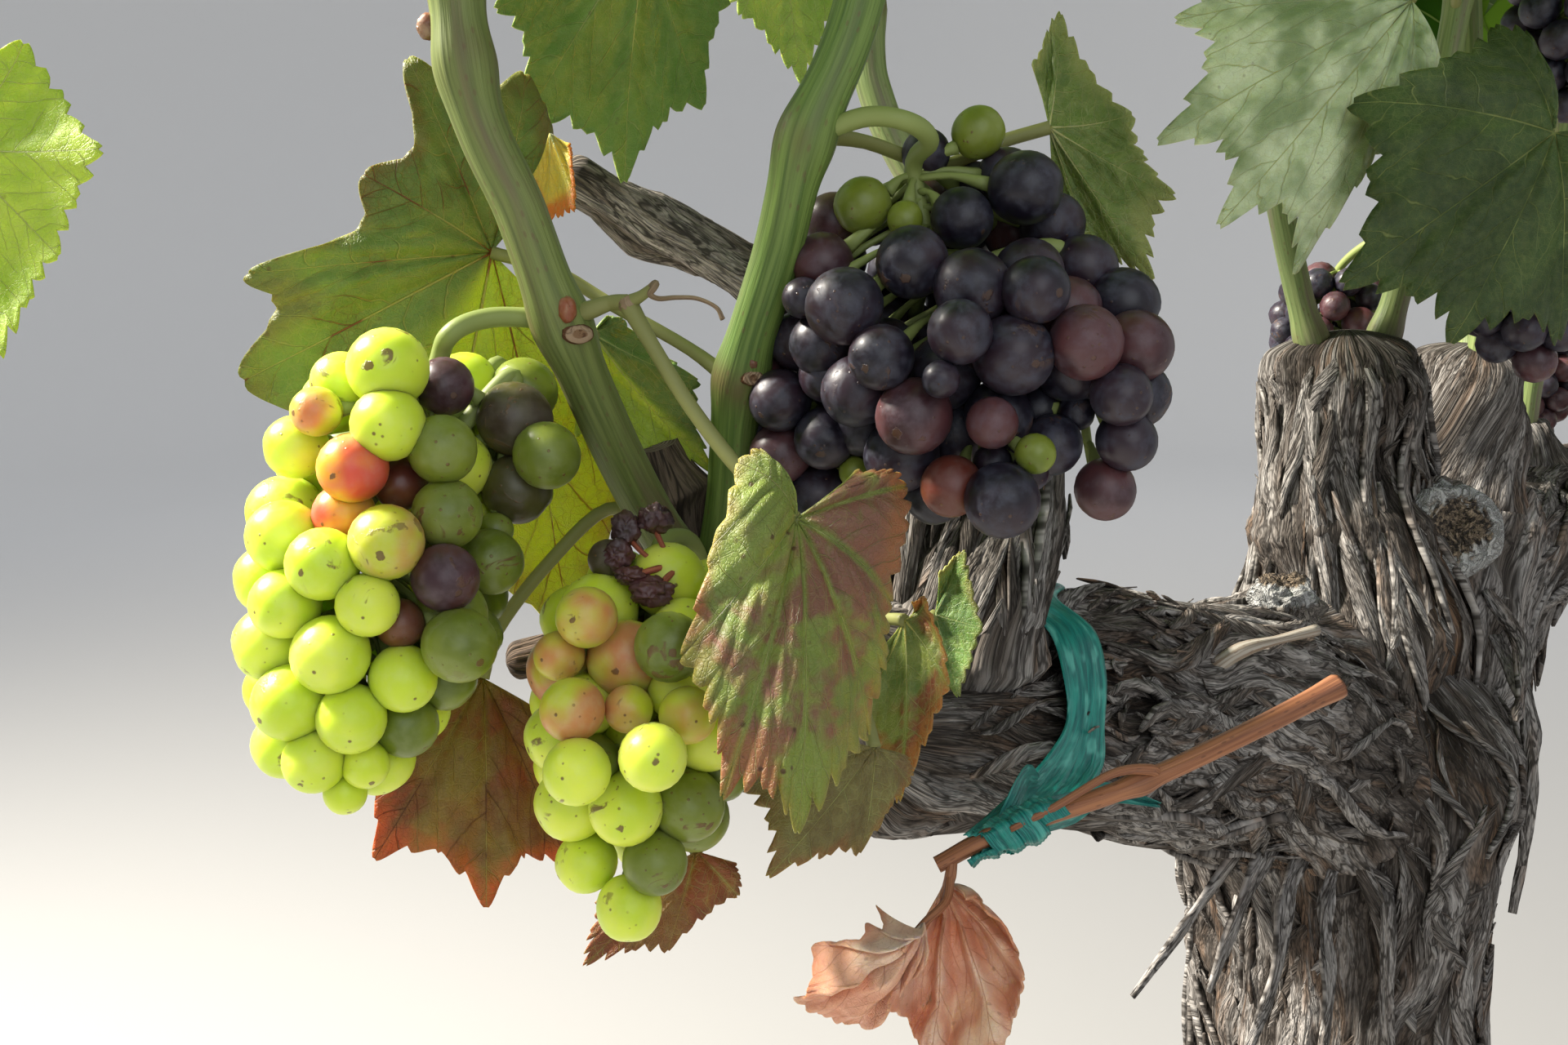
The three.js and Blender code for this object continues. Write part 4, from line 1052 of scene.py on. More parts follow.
def foliageMaterial(name, colour, behind, roughness=0.45, share=0.4):
    material, wire, shader = newMaterial(name, roughness=roughness, specular=0.4)
    wire.feed(shader.inputs["Base Color"], colour)
    through = wire.read("ShaderNodeBsdfTranslucent", {"Color": behind})
    mix = wire.read("ShaderNodeMixShader", {0: share, 1: Reading(wire, shader.outputs[0]), 2: through})
    end = next(node for node in wire.nodes if node.type == "OUTPUT_MATERIAL")
    wire.feed(end.inputs["Surface"], mix)
    return material


foliageColours = {  # front, and as lit from behind
    "deep": ((0.045, 0.105, 0.022), (0.16, 0.34, 0.03)),
    "middle": ((0.075, 0.165, 0.03), (0.26, 0.48, 0.04)),
    "bright": ((0.14, 0.26, 0.045), (0.42, 0.62, 0.06)),
    "yellowing": ((0.30, 0.30, 0.06), (0.62, 0.55, 0.08)),
}
ribFinish = foliageMaterial("leafRibs", (0.30, 0.36, 0.14), (0.40, 0.46, 0.14), share=0.25)
foliage = {key: foliageMaterial(f"foliage_{key}", *pair) for key, pair in foliageColours.items()}


def colourOf(leaf, random):  # young leaves near a shoot's tip are brighter
    roll = random.random() + 0.28 * (leaf["age"] - 0.5)
    if roll > 1.02:
        return "yellowing"
    return "bright" if roll > 0.72 else "middle" if roll > 0.34 else "deep"


def hangCrown():
    random = np.random.default_rng(61)
    dealt = {key: [] for key in foliageColours}
    for leaf in crownLeaves:
        dealt[colourOf(leaf, random)].append(leaf)
    for key, leaves in dealt.items():
        if leaves:
            points, faces, which = plainLeaves(leaves)
            piece = meshPiece(f"crown_leaves_{key}", points, faces, [foliage[key], ribFinish], which=which)
            place(piece, "foliage")


hangCrown()
print("crown leaves")


# Stems, stalks and tendrils

def tubeArrays(line, sides, rings, facing=(0.31, 0.87, 0.39)):  # a slim closed tube for joining with others
    t = np.linspace(0, 1, rings + 1)
    _, across, outward = axes(line, t, facing)
    angle = 2 * math.pi * np.arange(sides) / sides
    radius = thickness(line, t)
    spoke = across[:, None] * np.cos(angle)[None, :, None] + outward[:, None] * np.sin(angle)[None, :, None]
    ring = along(line, t)[:, None] + spoke * radius[:, None, None]
    points = np.vstack([ring.reshape(-1, 3), along(line, [0, 1])])
    faces = []
    for r in range(rings):
        for k in range(sides):
            a, b = sides * r + k, sides * r + (k + 1) % sides
            faces.append([a, b, b + sides, a + sides])
    first, last = len(points) - 2, len(points) - 1
    top = sides * rings
    faces += [[first, (k + 1) % sides, k, k] for k in range(sides)]
    faces += [[last, top + k, top + (k + 1) % sides, top + (k + 1) % sides] for k in range(sides)]
    return points, faces


def tubesPiece(name, lines, material, slot, sides=6, rings=6):
    points, faces = joinUp([tubeArrays(line, sides, rings) for line in lines])
    faces = [list(dict.fromkeys(face)) for face in faces.tolist()]
    grain = []
    for k, line in enumerate(lines):
        way = np.repeat(np.linspace(0, lengthOf(line), rings + 1), sides)
        turn = 2 * math.pi * np.tile(np.arange(sides), rings + 1) / sides
        ring = wrapped(3, turn, way.ravel()) + [7 * k, 0, 0]
        grain.append(np.vstack([ring, [7 * k, 0, 0], [7 * k, 0, way.max()]]))
    return place(meshPiece(name, points, faces, [material], grain=np.vstack(grain) / perMetre), slot)


def shootSkin(wire, given):
    def drawn(stretch, scale):
        return wire.noise(wire.stretched(given.Grain, (1, 1, stretch)), scale, 3, 0.6)

    lines, broad, blotch = drawn(0.03, 900), drawn(0.1, 190), drawn(0.35, 60)
    specks = wire.cells(wire.stretched(given.Grain, (1, 1, 0.45)), 520).between(0.22, 0.1)
    skin = wire.mixed(lines.between(0.3, 0.7), given.Green, given.Pale)
    skin = wire.mixed(broad.between(0.45, 0.7) * 0.75, skin, given.Tint)
    skin = wire.mixed(blotch.between(0.35, 0.65) * given.Knot, skin, given.Wood)
    skin = wire.mixed(specks * 0.45, skin, given.Wood)
    return {"Colour": skin, "Height": lines + broad * 0.6}


shootEffect = effect(
    "shootSkin", shootSkin, Grain=None, Knot=0.0, Green=(0.13, 0.19, 0.055),
    Pale=(0.25, 0.31, 0.11), Tint=(0.19, 0.15, 0.11), Wood=(0.13, 0.07, 0.035))


def shootMaterial(name, **colours):
    return skinMaterial(name, shootEffect, roughness=0.5, specular=0.4, depth=0.0004, **colours)


shootFinish = {
    "cane_left_front": shootMaterial(
        "shootGreyGreen", Green=(0.105, 0.14, 0.035), Pale=(0.19, 0.235, 0.065), Tint=(0.15, 0.115, 0.06)),
    # This shoot's greens are darkened as painted shade.
    "cane_left_back": shootMaterial(
        "shootShadedGreen", Green=(0.075, 0.14, 0.025), Pale=(0.18, 0.27, 0.06), Tint=(0.10, 0.13, 0.04)),
}
plainShoot = shootMaterial("shootPlain")


shootForm = {
    "foot": 0.28, "footReach": 11, "knotReach": 9,  # swelling and woody colour where it grows from the wood
    "joint": 0.24, "jointReach": 6.5,  # swelling where a leaf stands
    "ribs": ((0.012, 11), (0.01, 17)),  # height and number of the ribs along it
}


def growShoot(name, cane):
    line = cane["line"]
    made = limb(name, line, (0.2, 1, 0), cane.get("sides", 12), cane.get("rings", 130))
    way, angle, whole = made.way, made.angle, lengthOf(line)
    swell = np.zeros(len(way))
    knot = np.exp(-((way / shootForm["knotReach"]) ** 2))
    for share in caneJoints[name]:
        off = (way - share * whole) / shootForm["jointReach"]
        swell += np.exp(-off * off)
        knot += 0.8 * np.exp(-((off * 1.5) ** 2))
    (broad, few), (slim, many) = shootForm["ribs"]
    flute = broad * np.cos(few * angle + 0.02 * way) + slim * np.cos(many * angle + 2)
    foot = shootForm["foot"] * np.exp(-((way / shootForm["footReach"]) ** 2))
    radius = thickness(line, made.t) * (1 + flute + shootForm["joint"] * swell + foot) * made.inward
    points = made.middle + made.spoke * radius[:, None]
    finish = shootFinish.get(name, plainShoot)
    bendLimb(made, points, finish, wrapped(5, angle, way), knot=np.clip(knot, 0, 1))
    return limbPiece(f"{name}_shoot", made.mesh, "foliage", name)


for name, cane in canes.items():
    growShoot(name, cane)

stalkFinish = foliageMaterial("leafStalks", (0.26, 0.27, 0.09), (0.5, 0.45, 0.12), 0.5, share=0.15)
crownStalks = [[[*p, 1.25 * (1.15 - 0.15 * k)] for k, p in enumerate(leaf["stalk"])] for leaf in crownLeaves]
tubesPiece("crown_stalks", crownStalks, stalkFinish, "foliage", sides=5, rings=4)
tubesPiece("crown_laterals", laterals, stalkFinish, "foliage", sides=6, rings=8)
print("shoots and stalks")

# The leaves near the fruit, each with veins, puckers and its own autumn tints, some also with painted light
# and shade in their colours

def leafSkin(wire, given):
    split = wire.add("ShaderNodeSeparateXYZ", {0: given.Leaf}).outputs
    u, v = Reading(wire, split[0]), Reading(wire, split[1])  # which lobe, and how far out from the stalk
    spot = wire.read("ShaderNodeVectorMath", {0: given.Place, 1: given.Shift}, operation="ADD")
    near = wire.maths("PINGPONG", u, 0.5)
    real = wire.maths("GREATER_THAN", u, -0.5) * wire.maths("LESS_THAN", u, given.Lobes - 0.5)
    distance = near * v
    width = 0.0125 - v * 0.0085
    main = distance.between(width, width * 0.35) * real
    odd = wire.maths("GREATER_THAN", wire.maths("FRACT", u), 0.5) * 0.5
    row = v * (1.0 - near * 2.0 * 0.5) * float(sideVeins) + odd + (wire.noise(spot, 90, 2) - 0.5) * 0.7
    side = wire.maths("PINGPONG", row, 0.5).between(0.036, 0.008) * v.between(0.08, 0.2)
    net = wire.cells(spot, 360, "DISTANCE_TO_EDGE").between(0.06, 0.01)
    fine = wire.cells(spot, 1100, "DISTANCE_TO_EDGE").between(0.12, 0.02)
    broad = wire.noise(spot, 42, 3, 0.6)
    patchy = wire.noise(spot, 34, 4, 0.65, 0.6)
    grainy = wire.noise(spot, 420, 3, 0.6)
    blade = wire.mixed(broad.between(0.38, 0.64), given.Blade, given.Second)
    blade = wire.mixed(u.between(given.LitFrom, given.LitFrom + 0.5), blade, given.Lit)
    blade = wire.mixed(grainy.between(0.35, 0.75) * 0.16, blade, given.Rib)
    patch = patchy.between(0.45, 0.57) * (distance.between(0.005, 0.07) * given.Patchy)
    blade = wire.mixed(patch, blade, given.Patch)
    rim = (v + (patchy - 0.5) * 0.9).between(0.78, 1.02)
    blade = wire.mixed(rim * given.Edged, blade, given.Edge)
    veined = wire.mixed(broad.between(0.47, 0.53), given.Vein, given.Rib)
    blade = wire.mixed(wire.maths("MAXIMUM", side * 0.55, net * 0.16 + fine * 0.07), blade, veined)
    blade = wire.mixed(main * 0.85, blade, veined)
    spotted = wire.cells(spot, 230).between(0.16, 0.07) * broad.between(0.5, 0.6)
    blade = wire.mixed(spotted * given.Specks, blade, (0.09, 0.04, 0.02))
    low = main * 0.9 + side * 0.6 + (net + fine) * 0.1
    return {"Colour": blade, "Height": grainy * 0.3 - low}


leafEffect = effect(
    "leafSkin", leafSkin, Leaf=None, Place=None, Shift=None, Lobes=5.0, Blade=(0.09, 0.18, 0.035),
    Second=(0.14, 0.25, 0.05), Lit=(0.34, 0.5, 0.04), LitFrom=99.0, Rib=(0.42, 0.46, 0.17),
    Vein=(0.36, 0.42, 0.16), Patch=(0.16, 0.05, 0.035), Patchy=0.0, Edge=(0.2, 0.06, 0.02), Edged=0.0,
    Specks=0.3)
leafThrough = (0.55, (1.0, 0.8, 0.3), 0.0016)  # share, reach of red, green and blue, and scale in metres
green = {"Blade": (0.07, 0.15, 0.03), "Second": (0.13, 0.24, 0.045), "Vein": (0.30, 0.37, 0.13)}
# The bright yellow-green of leaves lit through from behind: painted light.
lime = {"Blade": (0.22, 0.36, 0.05), "Second": (0.33, 0.46, 0.08), "Vein": (0.46, 0.52, 0.20)}
nearLeaves = {
    "leaf_left_broad": {
        "slot": "leaf_green", "at": [-371, 36, 958],
        "stem": [("cane_left_back", 929), [-344, 1, 937], [-352, 19, 947], [-360, 28, 954]],
        "tips": [[-356, 43, 998], [-382, 50, 999], [-395, 47, 974], [-418, 55, 953], [-419, 57, 931],
                 [-387, 42, 890], [-353, 33, 871]],
        "bases": ((25, 0.7), (32, 0.6)), "wave": 3.0, "sinus": (0, 0.2, 0.25, 0.26, 0.18, 0.1, 0.1, 0),
        "notch": 1.6, "bite": 0.016, "spokes": 34, "teeth": 3,
        "colours": {"Blade": (0.085, 0.155, 0.022), "Second": (0.125, 0.215, 0.035),
                    "Vein": (0.17, 0.04, 0.02), "Rib": (0.30, 0.33, 0.10), "Edge": (0.16, 0.07, 0.025),
                    "Edged": 0.35, "Specks": 0.5, "Lit": (0.36, 0.50, 0.03), "LitFrom": 4.3},
    },
    "leaf_front": {
        "slot": "leaf_yellow", "at": [-365, -52, 907],
        "stem": [[-376, -17, 947], [-375, -23, 939], [-372, -31, 927], [-368, -41, 915]],
        "tips": [[-373, -46, 918], [-392, -52, 886], [-394, -64, 864], [-385, -73, 857], [-361, -68, 869],
                 [-350, -63, 891], [-343, -60, 912]],
        "bases": ((22, 0.7), (20, 0.7)), "wave": 1.8, "sinus": (0, 0.04, 0.1, 0.12, 0.07, 0.06, 0.04, 0),
        "bite": 0.034, "spokes": 40,
        "colours": {"Blade": (0.13, 0.185, 0.03), "Second": (0.20, 0.265, 0.045),
                    "Vein": (0.22, 0.21, 0.08), "Rib": (0.32, 0.34, 0.12), "Patch": (0.20, 0.085, 0.06),
                    "Patchy": 0.95, "Edge": (0.38, 0.15, 0.03), "Edged": 0.4, "Specks": 0.9},
    },
    "leaf_bronze": {
        "slot": "leaf_bronze", "at": [-381, 29, 865],
        "stem": [("cane_left_front", 897), [-353, 19, 901], [-365, 26, 889], [-377, 29, 875]],
        "tips": [[-399, 41, 863], [-412, 36, 848], [-409, 29, 831], [-391, 15, 819], [-372, 11, 824]],
        "bases": ((30, 0.7), (34, 0.8)), "wave": 2.8, "sinus": 0.17, "spokes": 36, "bite": 0.024, "teeth": 4,
        "colours": {"Blade": (0.15, 0.06, 0.018), "Second": (0.19, 0.14, 0.025),
                    "Vein": (0.09, 0.03, 0.015), "Rib": (0.30, 0.26, 0.08), "Patch": (0.20, 0.045, 0.02),
                    "Patchy": 0.8, "Edge": (0.55, 0.11, 0.02), "Edged": 0.6, "Specks": 0.6},
    },
    "leaf_folded": {
        "slot": "leaf_bronze", "at": [-304, -27, 875],
        "stem": [[-298, 0, 862], [-300, -14, 872], [-302, -21, 874]],
        "tips": [[-303, -33, 880], [-304, -40, 862], [-314, -35, 837], [-313, -19, 850]],
        "bases": ((20, 0.6), (20, 0.6)), "wave": 1.4, "sinus": 0.14,
        "colours": {"Blade": (0.09, 0.16, 0.03), "Second": (0.19, 0.24, 0.04), "Vein": (0.40, 0.38, 0.10),
                    "Patch": (0.22, 0.05, 0.025), "Patchy": 0.9, "Edge": (0.45, 0.20, 0.04), "Edged": 0.6,
                    "Specks": 0.5},
    },
    "leaf_folded_back": {
        "slot": "leaf_green", "at": [-283, -19, 872],
        "stem": [[-281, 0, 852], [-283, -14, 868]],
        "tips": [[-277, -23, 887], [-279, -30, 870], [-285, -28, 854], [-292, -18, 864]],
        "bases": ((20, 0.6), (20, 0.6)), "wave": 1.0, "sinus": 0.12,
        "colours": {**green, "Edge": (0.22, 0.10, 0.03), "Edged": 0.4},
    },
    "leaf_low": {
        "slot": "leaf_bronze", "at": [-332, -43, 854],
        "stem": [[-312, 2, 868], [-324, -24, 866], [-330, -38, 860]],
        "tips": [[-362, -34, 850], [-364, -44, 835], [-340, -46, 834], [-325, -46, 845]],
        "bases": ((25, 0.7), (30, 0.8)), "wave": 2.2, "sinus": 0.16,
        "colours": {"Blade": (0.13, 0.10, 0.035), "Second": (0.18, 0.16, 0.05), "Vein": (0.27, 0.22, 0.09),
                    "Patch": (0.15, 0.07, 0.035), "Patchy": 0.6, "Edge": (0.28, 0.13, 0.03), "Edged": 0.4},
    },
    "leaf_bottom": {
        "slot": "leaf_bronze", "at": [-362, -20, 833],
        "stem": [[-330, 9, 878], [-345, 5, 850], [-355, -8, 838]],
        "tips": [[-385, -12, 813], [-372, -22, 815], [-357, -27, 824]],
        "bases": ((20, 0.7), (30, 0.7)), "wave": 2.0, "sinus": 0.14,
        "colours": {"Blade": (0.22, 0.11, 0.03), "Second": (0.34, 0.22, 0.04), "Vein": (0.42, 0.30, 0.09),
                    "Patch": (0.25, 0.05, 0.02), "Patchy": 0.8, "Edge": (0.16, 0.05, 0.02), "Edged": 0.7},
    },
    "leaf_right": {
        "slot": "leaf_green", "at": [-290, -54, 984],
        "stem": [("cane_left_back", 980), [-325, -33, 980], [-308, -39, 976], [-297, -46, 981]],
        "tips": [[-278, -48, 1009], [-280, -68, 986], [-281, -79, 969], [-286, -78, 952], [-287, -65, 955]],
        "bases": ((18, 0.6), (18, 0.7)), "wave": 1.4, "sinus": 0.16,
        # Its pale yellow-green Edge stands for a sunlit rim: painted light.
        "colours": {"Blade": (0.075, 0.135, 0.02), "Second": (0.13, 0.20, 0.035),
                    "Vein": (0.30, 0.34, 0.12), "Rib": (0.42, 0.42, 0.18), "Edge": (0.34, 0.36, 0.12),
                    "Edged": 0.5},
    },
    "leaf_middle": {
        "slot": "leaf_green", "at": [-354, 22, 940],
        "stem": [("cane_left_front", 926), [-366, 11, 934]],
        "tips": [[-343, 26, 943], [-331, 14, 929], [-331, 10, 909], [-347, 19, 913]],
        "bases": ((20, 0.6), (30, 0.8)), "wave": 2.0, "sinus": 0.12,
        "colours": {**green, "Lit": (0.36, 0.48, 0.03), "LitFrom": 1.6},
    },
    "leaf_top": {
        "slot": "leaf_green", "at": [-299, 67, 1044],
        "stem": [("cane_knuckle", 1062), [-250, 66, 1068], [-278, 70, 1058]],
        "tips": [[-277, 54, 1030], [-285, 62, 999], [-304, 73, 979], [-329, 82, 993], [-333, 86, 1021]],
        "bases": ((32, 0.8), (32, 0.8)), "wave": 2.0, "sinus": 0.16, "bite": 0.028,
        "colours": {"Blade": (0.10, 0.20, 0.03), "Second": (0.145, 0.255, 0.045),
                    "Vein": (0.24, 0.32, 0.10), "Rib": (0.34, 0.40, 0.14)},
    },
    "leaf_top_small": {
        "slot": "leaf_yellow", "at": [-300, 16, 1034],
        "stem": [("cane_knuckle", 1040), [-255, 40, 1047], [-282, 24, 1044]],
        "tips": [[-290, 6, 1018], [-299, 11, 999], [-311, 19, 1014]],
        "bases": ((40, 0.9), (40, 0.9)), "wave": 1.4, "sinus": 0.12,
        "colours": lime,
    },
    "leaf_far_left": {
        "slot": "leaf_yellow", "at": [-454, 117, 980],
        "stem": [("cane_left_front", 1078), [-425, 60, 1078], [-450, 105, 1040], [-456, 116, 1000]],
        "tips": [[-464, 130, 1000], [-439, 113, 1003], [-432, 94, 980], [-441, 96, 957], [-452, 101, 936],
                 [-472, 122, 950]],
        "bases": ((20, 0.8), (20, 0.8)), "wave": 1.6, "sinus": 0.12,
        # Its bright yellow-green is painted light, the glow of a leaf lit from behind.
        "colours": {**lime, "Blade": (0.33, 0.50, 0.032), "Second": (0.46, 0.62, 0.06)},
    },
    "leaf_head_left": {
        "slot": "leaf_green", "at": [-48, -26, 1046],
        "stem": [("cane_head_front", 1052), [-10, -24, 1064], [-32, -26, 1058]],
        "tips": [[-107, 25, 1040], [-125, 20, 999], [-113, 3, 973], [-96, -15, 957], [-63, -29, 998]],
        "bases": ((22, 0.7), (26, 0.8)), "wave": 4.2, "sinus": 0.17, "bite": 0.032,
        # Its pale grey-green Second colour is a painted sky reflection on a sunlit leaf.
        "colours": {"Blade": (0.23, 0.32, 0.15), "Second": (0.62, 0.72, 0.50), "Vein": (0.40, 0.46, 0.26)},
    },
    "leaf_head_front": {
        "slot": "leaf_green", "at": [-46, -73, 1000],
        "stem": [("cane_head_front", 1000), [-8, -42, 1014], [-30, -65, 1008]],
        "tips": [[-45, -53, 1035], [-88, -29, 1011], [-106, -37, 954], [-86, -61, 935], [-50, -80, 936],
                 [-22, -96, 985]],
        "bases": ((22, 0.7), (24, 0.8)), "wave": 4.0, "sinus": 0.16,
        # Its near-black greens are painted shade.
        "colours": {"Blade": (0.022, 0.048, 0.008), "Second": (0.038, 0.08, 0.014),
                    "Vein": (0.11, 0.15, 0.04), "Rib": (0.24, 0.28, 0.09)},
    },
}


def stemPoints(stem):
    return [onCane(*p) if isinstance(p, tuple) else np.array(p, float) for p in stem]


bladeForm = {"puff": 0.07, "pleat": 0.07, "ripple": 0.016, "flutter": 0.5}


def bendBlade(sheet, pattern, normal, length, leaf, seed):
    puff, pleat, ripple = pattern["lifts"]
    lift = bladeForm["puff"] * puff + leaf.get("pleat", bladeForm["pleat"]) * pleat
    lift = length * (lift + bladeForm["ripple"] * ripple)
    reach = pattern["reach"]
    lift += length * leaf.get("curl", 0) * reach**3
    wave = leaf["wave"] * reach**2 * (noiseAt(sheet / 24, seed) + 0.45 * noiseAt(sheet / 10, seed + 3))
    creases = 1 - 2 * np.abs(noiseAt(sheet / 9, seed + 5))
    wave += leaf.get("crumple", 0) * np.minimum(4 * reach, 1) * creases
    flutter = bladeForm["flutter"] * reach**6 * noiseAt(sheet / 5, seed + 8)
    return sheet + normal * (lift + wave + flutter)[:, None]


def growNearLeaf(name, leaf, seed, rings=24):
    ribs, normal = ribsOf(leaf["at"], leaf["tips"], leaf["bases"])
    levels = [((k + 1) / rings) ** 0.9 for k in range(rings)]
    cutting = {key: leaf[key] for key in ("sinus", "notch") if key in leaf}
    cutting.update(spokes=leaf.get("spokes", 30), teeth=leaf.get("teeth", 5), bite=leaf.get("bite", 0.042))
    pattern = leafPattern(len(leaf["tips"]), rings=levels, **cutting)
    length = float(np.linalg.norm(ribs[len(ribs) // 2]))
    sheet = np.array(leaf["at"], float) + pattern["weights"] @ ribs
    sheet = bendBlade(sheet, pattern, normal, length, leaf, seed)
    own = {"Lobes": float(len(leaf["tips"])), "Shift": (0.37 * seed, 0.21 * seed, 0.0), **leaf["colours"]}
    gloss = {"roughness": 0.5, "specular": 0.35, "depth": 0.0007, "through": leafThrough}
    finish = skinMaterial(f"{name}_skin", leafEffect, **gloss, **own)
    piece = meshPiece(f"{name}_blade", sheet, pattern["faces"], [finish], uv=pattern["uv"])
    thicken(piece, 0.0005, offset=0)
    return place(piece, leaf["slot"], *([name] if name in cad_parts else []))


for seed, (name, leaf) in enumerate(nearLeaves.items()):
    growNearLeaf(name, leaf, 3 + seed)
stalks = []
for leaf in nearLeaves.values():
    line = stemPoints(leaf["stem"]) + [np.array(leaf["at"], float)]
    stalks.append([[*p, 1.5 + (0.5 if k == 0 else 0)] for k, p in enumerate(line)])
tubesPiece("near_stalks", stalks, stalkFinish, "foliage", sides=10, rings=20)
print("leaves near the fruit")


# Grapes: dealt out round each cluster's axis and eased apart, as in the model, but as many as the vine bears

clusters = {
    "cluster_left": {
        "slot": "grape_green", "kind": "green", "seed": 3,
        "stem": [("cane_left_front", 943), [-385, 2, 944], [-393, 6, 944], [-400, 8, 941]],
        "parts": [([-401, 12, 934], [-431, 12, 850], 56, 60), ([-391, 4, 932], [-398, -2, 900], 34, 12),
                  ([-387, 14, 934], [-393, 12, 894], 34, 10)],
        "pinned": [  # berries with a place and colour of their own, the dark green ones on the side away from the light painted shade: x, y, z, radius, kind
            (-417, 3, 935, 7.6, "lime"), (-403, 6, 931, 5.7, "plum"), (-425, 3, 917, 6.5, "blush"),
            (-425, 7, 908, 5.8, "blush"), (-427, 12, 927, 4.7, "tinged"), (-414, 5, 913, 5.1, "rust"),
            (-389, 3, 924, 7.5, "murk"), (-389, 3, 910, 7.0, "murk"), (-411, -5, 920, 6.5, "olive"),
            (-411, -6, 908, 6.6, "olive"), (-399, -2, 897, 6.4, "olive"), (-415, -11, 897, 6.3, "plum"),
            (-415, -15, 885, 6.9, "olive"), (-420, -3, 888, 4.6, "rust")],
    },
    "cluster_middle": {
        "slot": "grape_green", "kind": "green", "seed": 4,
        "stem": [[-334, 8, 886], [-350, -5, 896], [-362, -11, 898]],
        "parts": [([-366, -13, 893], [-389, -29, 827], 49, 44), ([-356, -26, 888], [-362, -34, 862], 34, 10)],
        "pinned": [
            (-395, -27, 889, 5.8, "tinged"), (-397, -21, 881, 4.8, "tinged"), (-401, -30, 873, 6.0, "tinged"),
            (-391, -34, 872, 4.6, "tinged"), (-386, -40, 884, 6.6, "olive"), (-386, -45, 872, 5.4, "tinged"),
            (-404, -35, 863, 6.2, "lime"), (-397, -48, 867, 6.2, "lime"), (-381, -16, 897, 4.0, "murk")],
    },
    "cluster_right": {
        "slot": "grape_dark", "kind": "dark", "seed": 6,
        "stem": [("cane_left_back", 979), [-338, -44, 983], [-333, -51, 982], [-325, -50, 979]],
        "parts": [([-318, -40, 974], [-316, -62, 902], 68, 74), ([-307, -70, 958], [-305, -80, 906], 38, 28)],
        "pinned": [
            (-308, -49, 982, 5.5, "olive"), (-314, -40, 978, 5.1, "night"), (-309, -62, 970, 7.5, "night"),
            (-327, -34, 967, 5.9, "olive"), (-318, -53, 964, 6.3, "night"), (-336, -31, 955, 6.4, "plum"),
            (-327, -63, 950, 7.7, "night"), (-331, -51, 955, 7.3, "night"), (-324, -71, 937, 8.0, "night"),
            (-323, -76, 918, 4.0, "olive"), (-329, -70, 924, 5.1, "plum"), (-328, -72, 909, 7.5, "night"),
            (-330, -61, 911, 6.2, "rust"), (-337, -57, 925, 7.6, "plum"), (-324, -43, 964, 3.7, "olive")],
    },
    "cluster_right_back": {
        "slot": "grape_dark", "kind": "dark", "seed": 7,
        "stem": [("cane_left_back", 933), [-331, -15, 944], [-325, -17, 947]],
        "parts": [([-320, -21, 946], [-321, -21, 896], 52, 34)],
        "pinned": [
            (-334, -23, 939, 6.6, "night"), (-321, -26, 946, 3.4, "blush"), (-331, -36, 912, 3.4, "olive")],
    },
}
others = [("cane_head_front", 1006, [2, -46, 988]), ("cane_right_1", 1092, [70, -36, 1080]),
          ("cane_right_2", 975, [112, 70, 962]), ("cane_right_3", 944, [205, -46, 930]),
          ("cane_right_6", 946, [345, 62, 932]), ("cane_right_7", 940, [430, -52, 926])]
for number, (cane, height, top) in enumerate(others):
    start = onCane(cane, height)
    bend = start + 0.6 * (np.array(top) - start) + np.array([0, 0, 10])
    drop = 66 + 4 * (number % 3)
    foot = [top[0] + 5 * math.sin(2 * number), top[1] + math.copysign(8, top[1]), top[2] - drop]
    name = "cluster_" + ("head", "top", "rear_1", "front_1", "rear_2", "front_2")[number]
    clusters[name] = {
        "slot": "grape_dark", "kind": "far", "seed": 9 + number, "stem": [(cane, height), bend.tolist()],
        "parts": [(top, foot, 54, 46)], "pinned": []}
packing = {  # how the berries of a cluster are eased apart
    "radius": 6.9, "spacing": 0.97, "rounds": 90,
    "free": 0.26, "pinned": 0.5,  # how much of an overlap with such a neighbour a berry gives way
    "end": 0.6,  # how far a berry stays from the ends of its part, in radii
    "hiding": 0.62, "ahead": 3,  # a berry hides a pinned one that it overlaps and stands before so far
    "squeezed": 0.76,  # berries closer than this share of touching are dropped
}


def partLine(part):  # the ends, the length and the direction of a part of a cluster
    top, foot = np.array(part[0], float), np.array(part[1], float)
    length = np.linalg.norm(foot - top)
    return top, foot, length, (foot - top) / length


def girth(t, width):  # a cluster part's radius, widest near its top
    return 0.5 * width * 1.7 * np.clip(1 - t, 0, 1) ** 0.55 * np.clip(t, 0, 1) ** 0.28


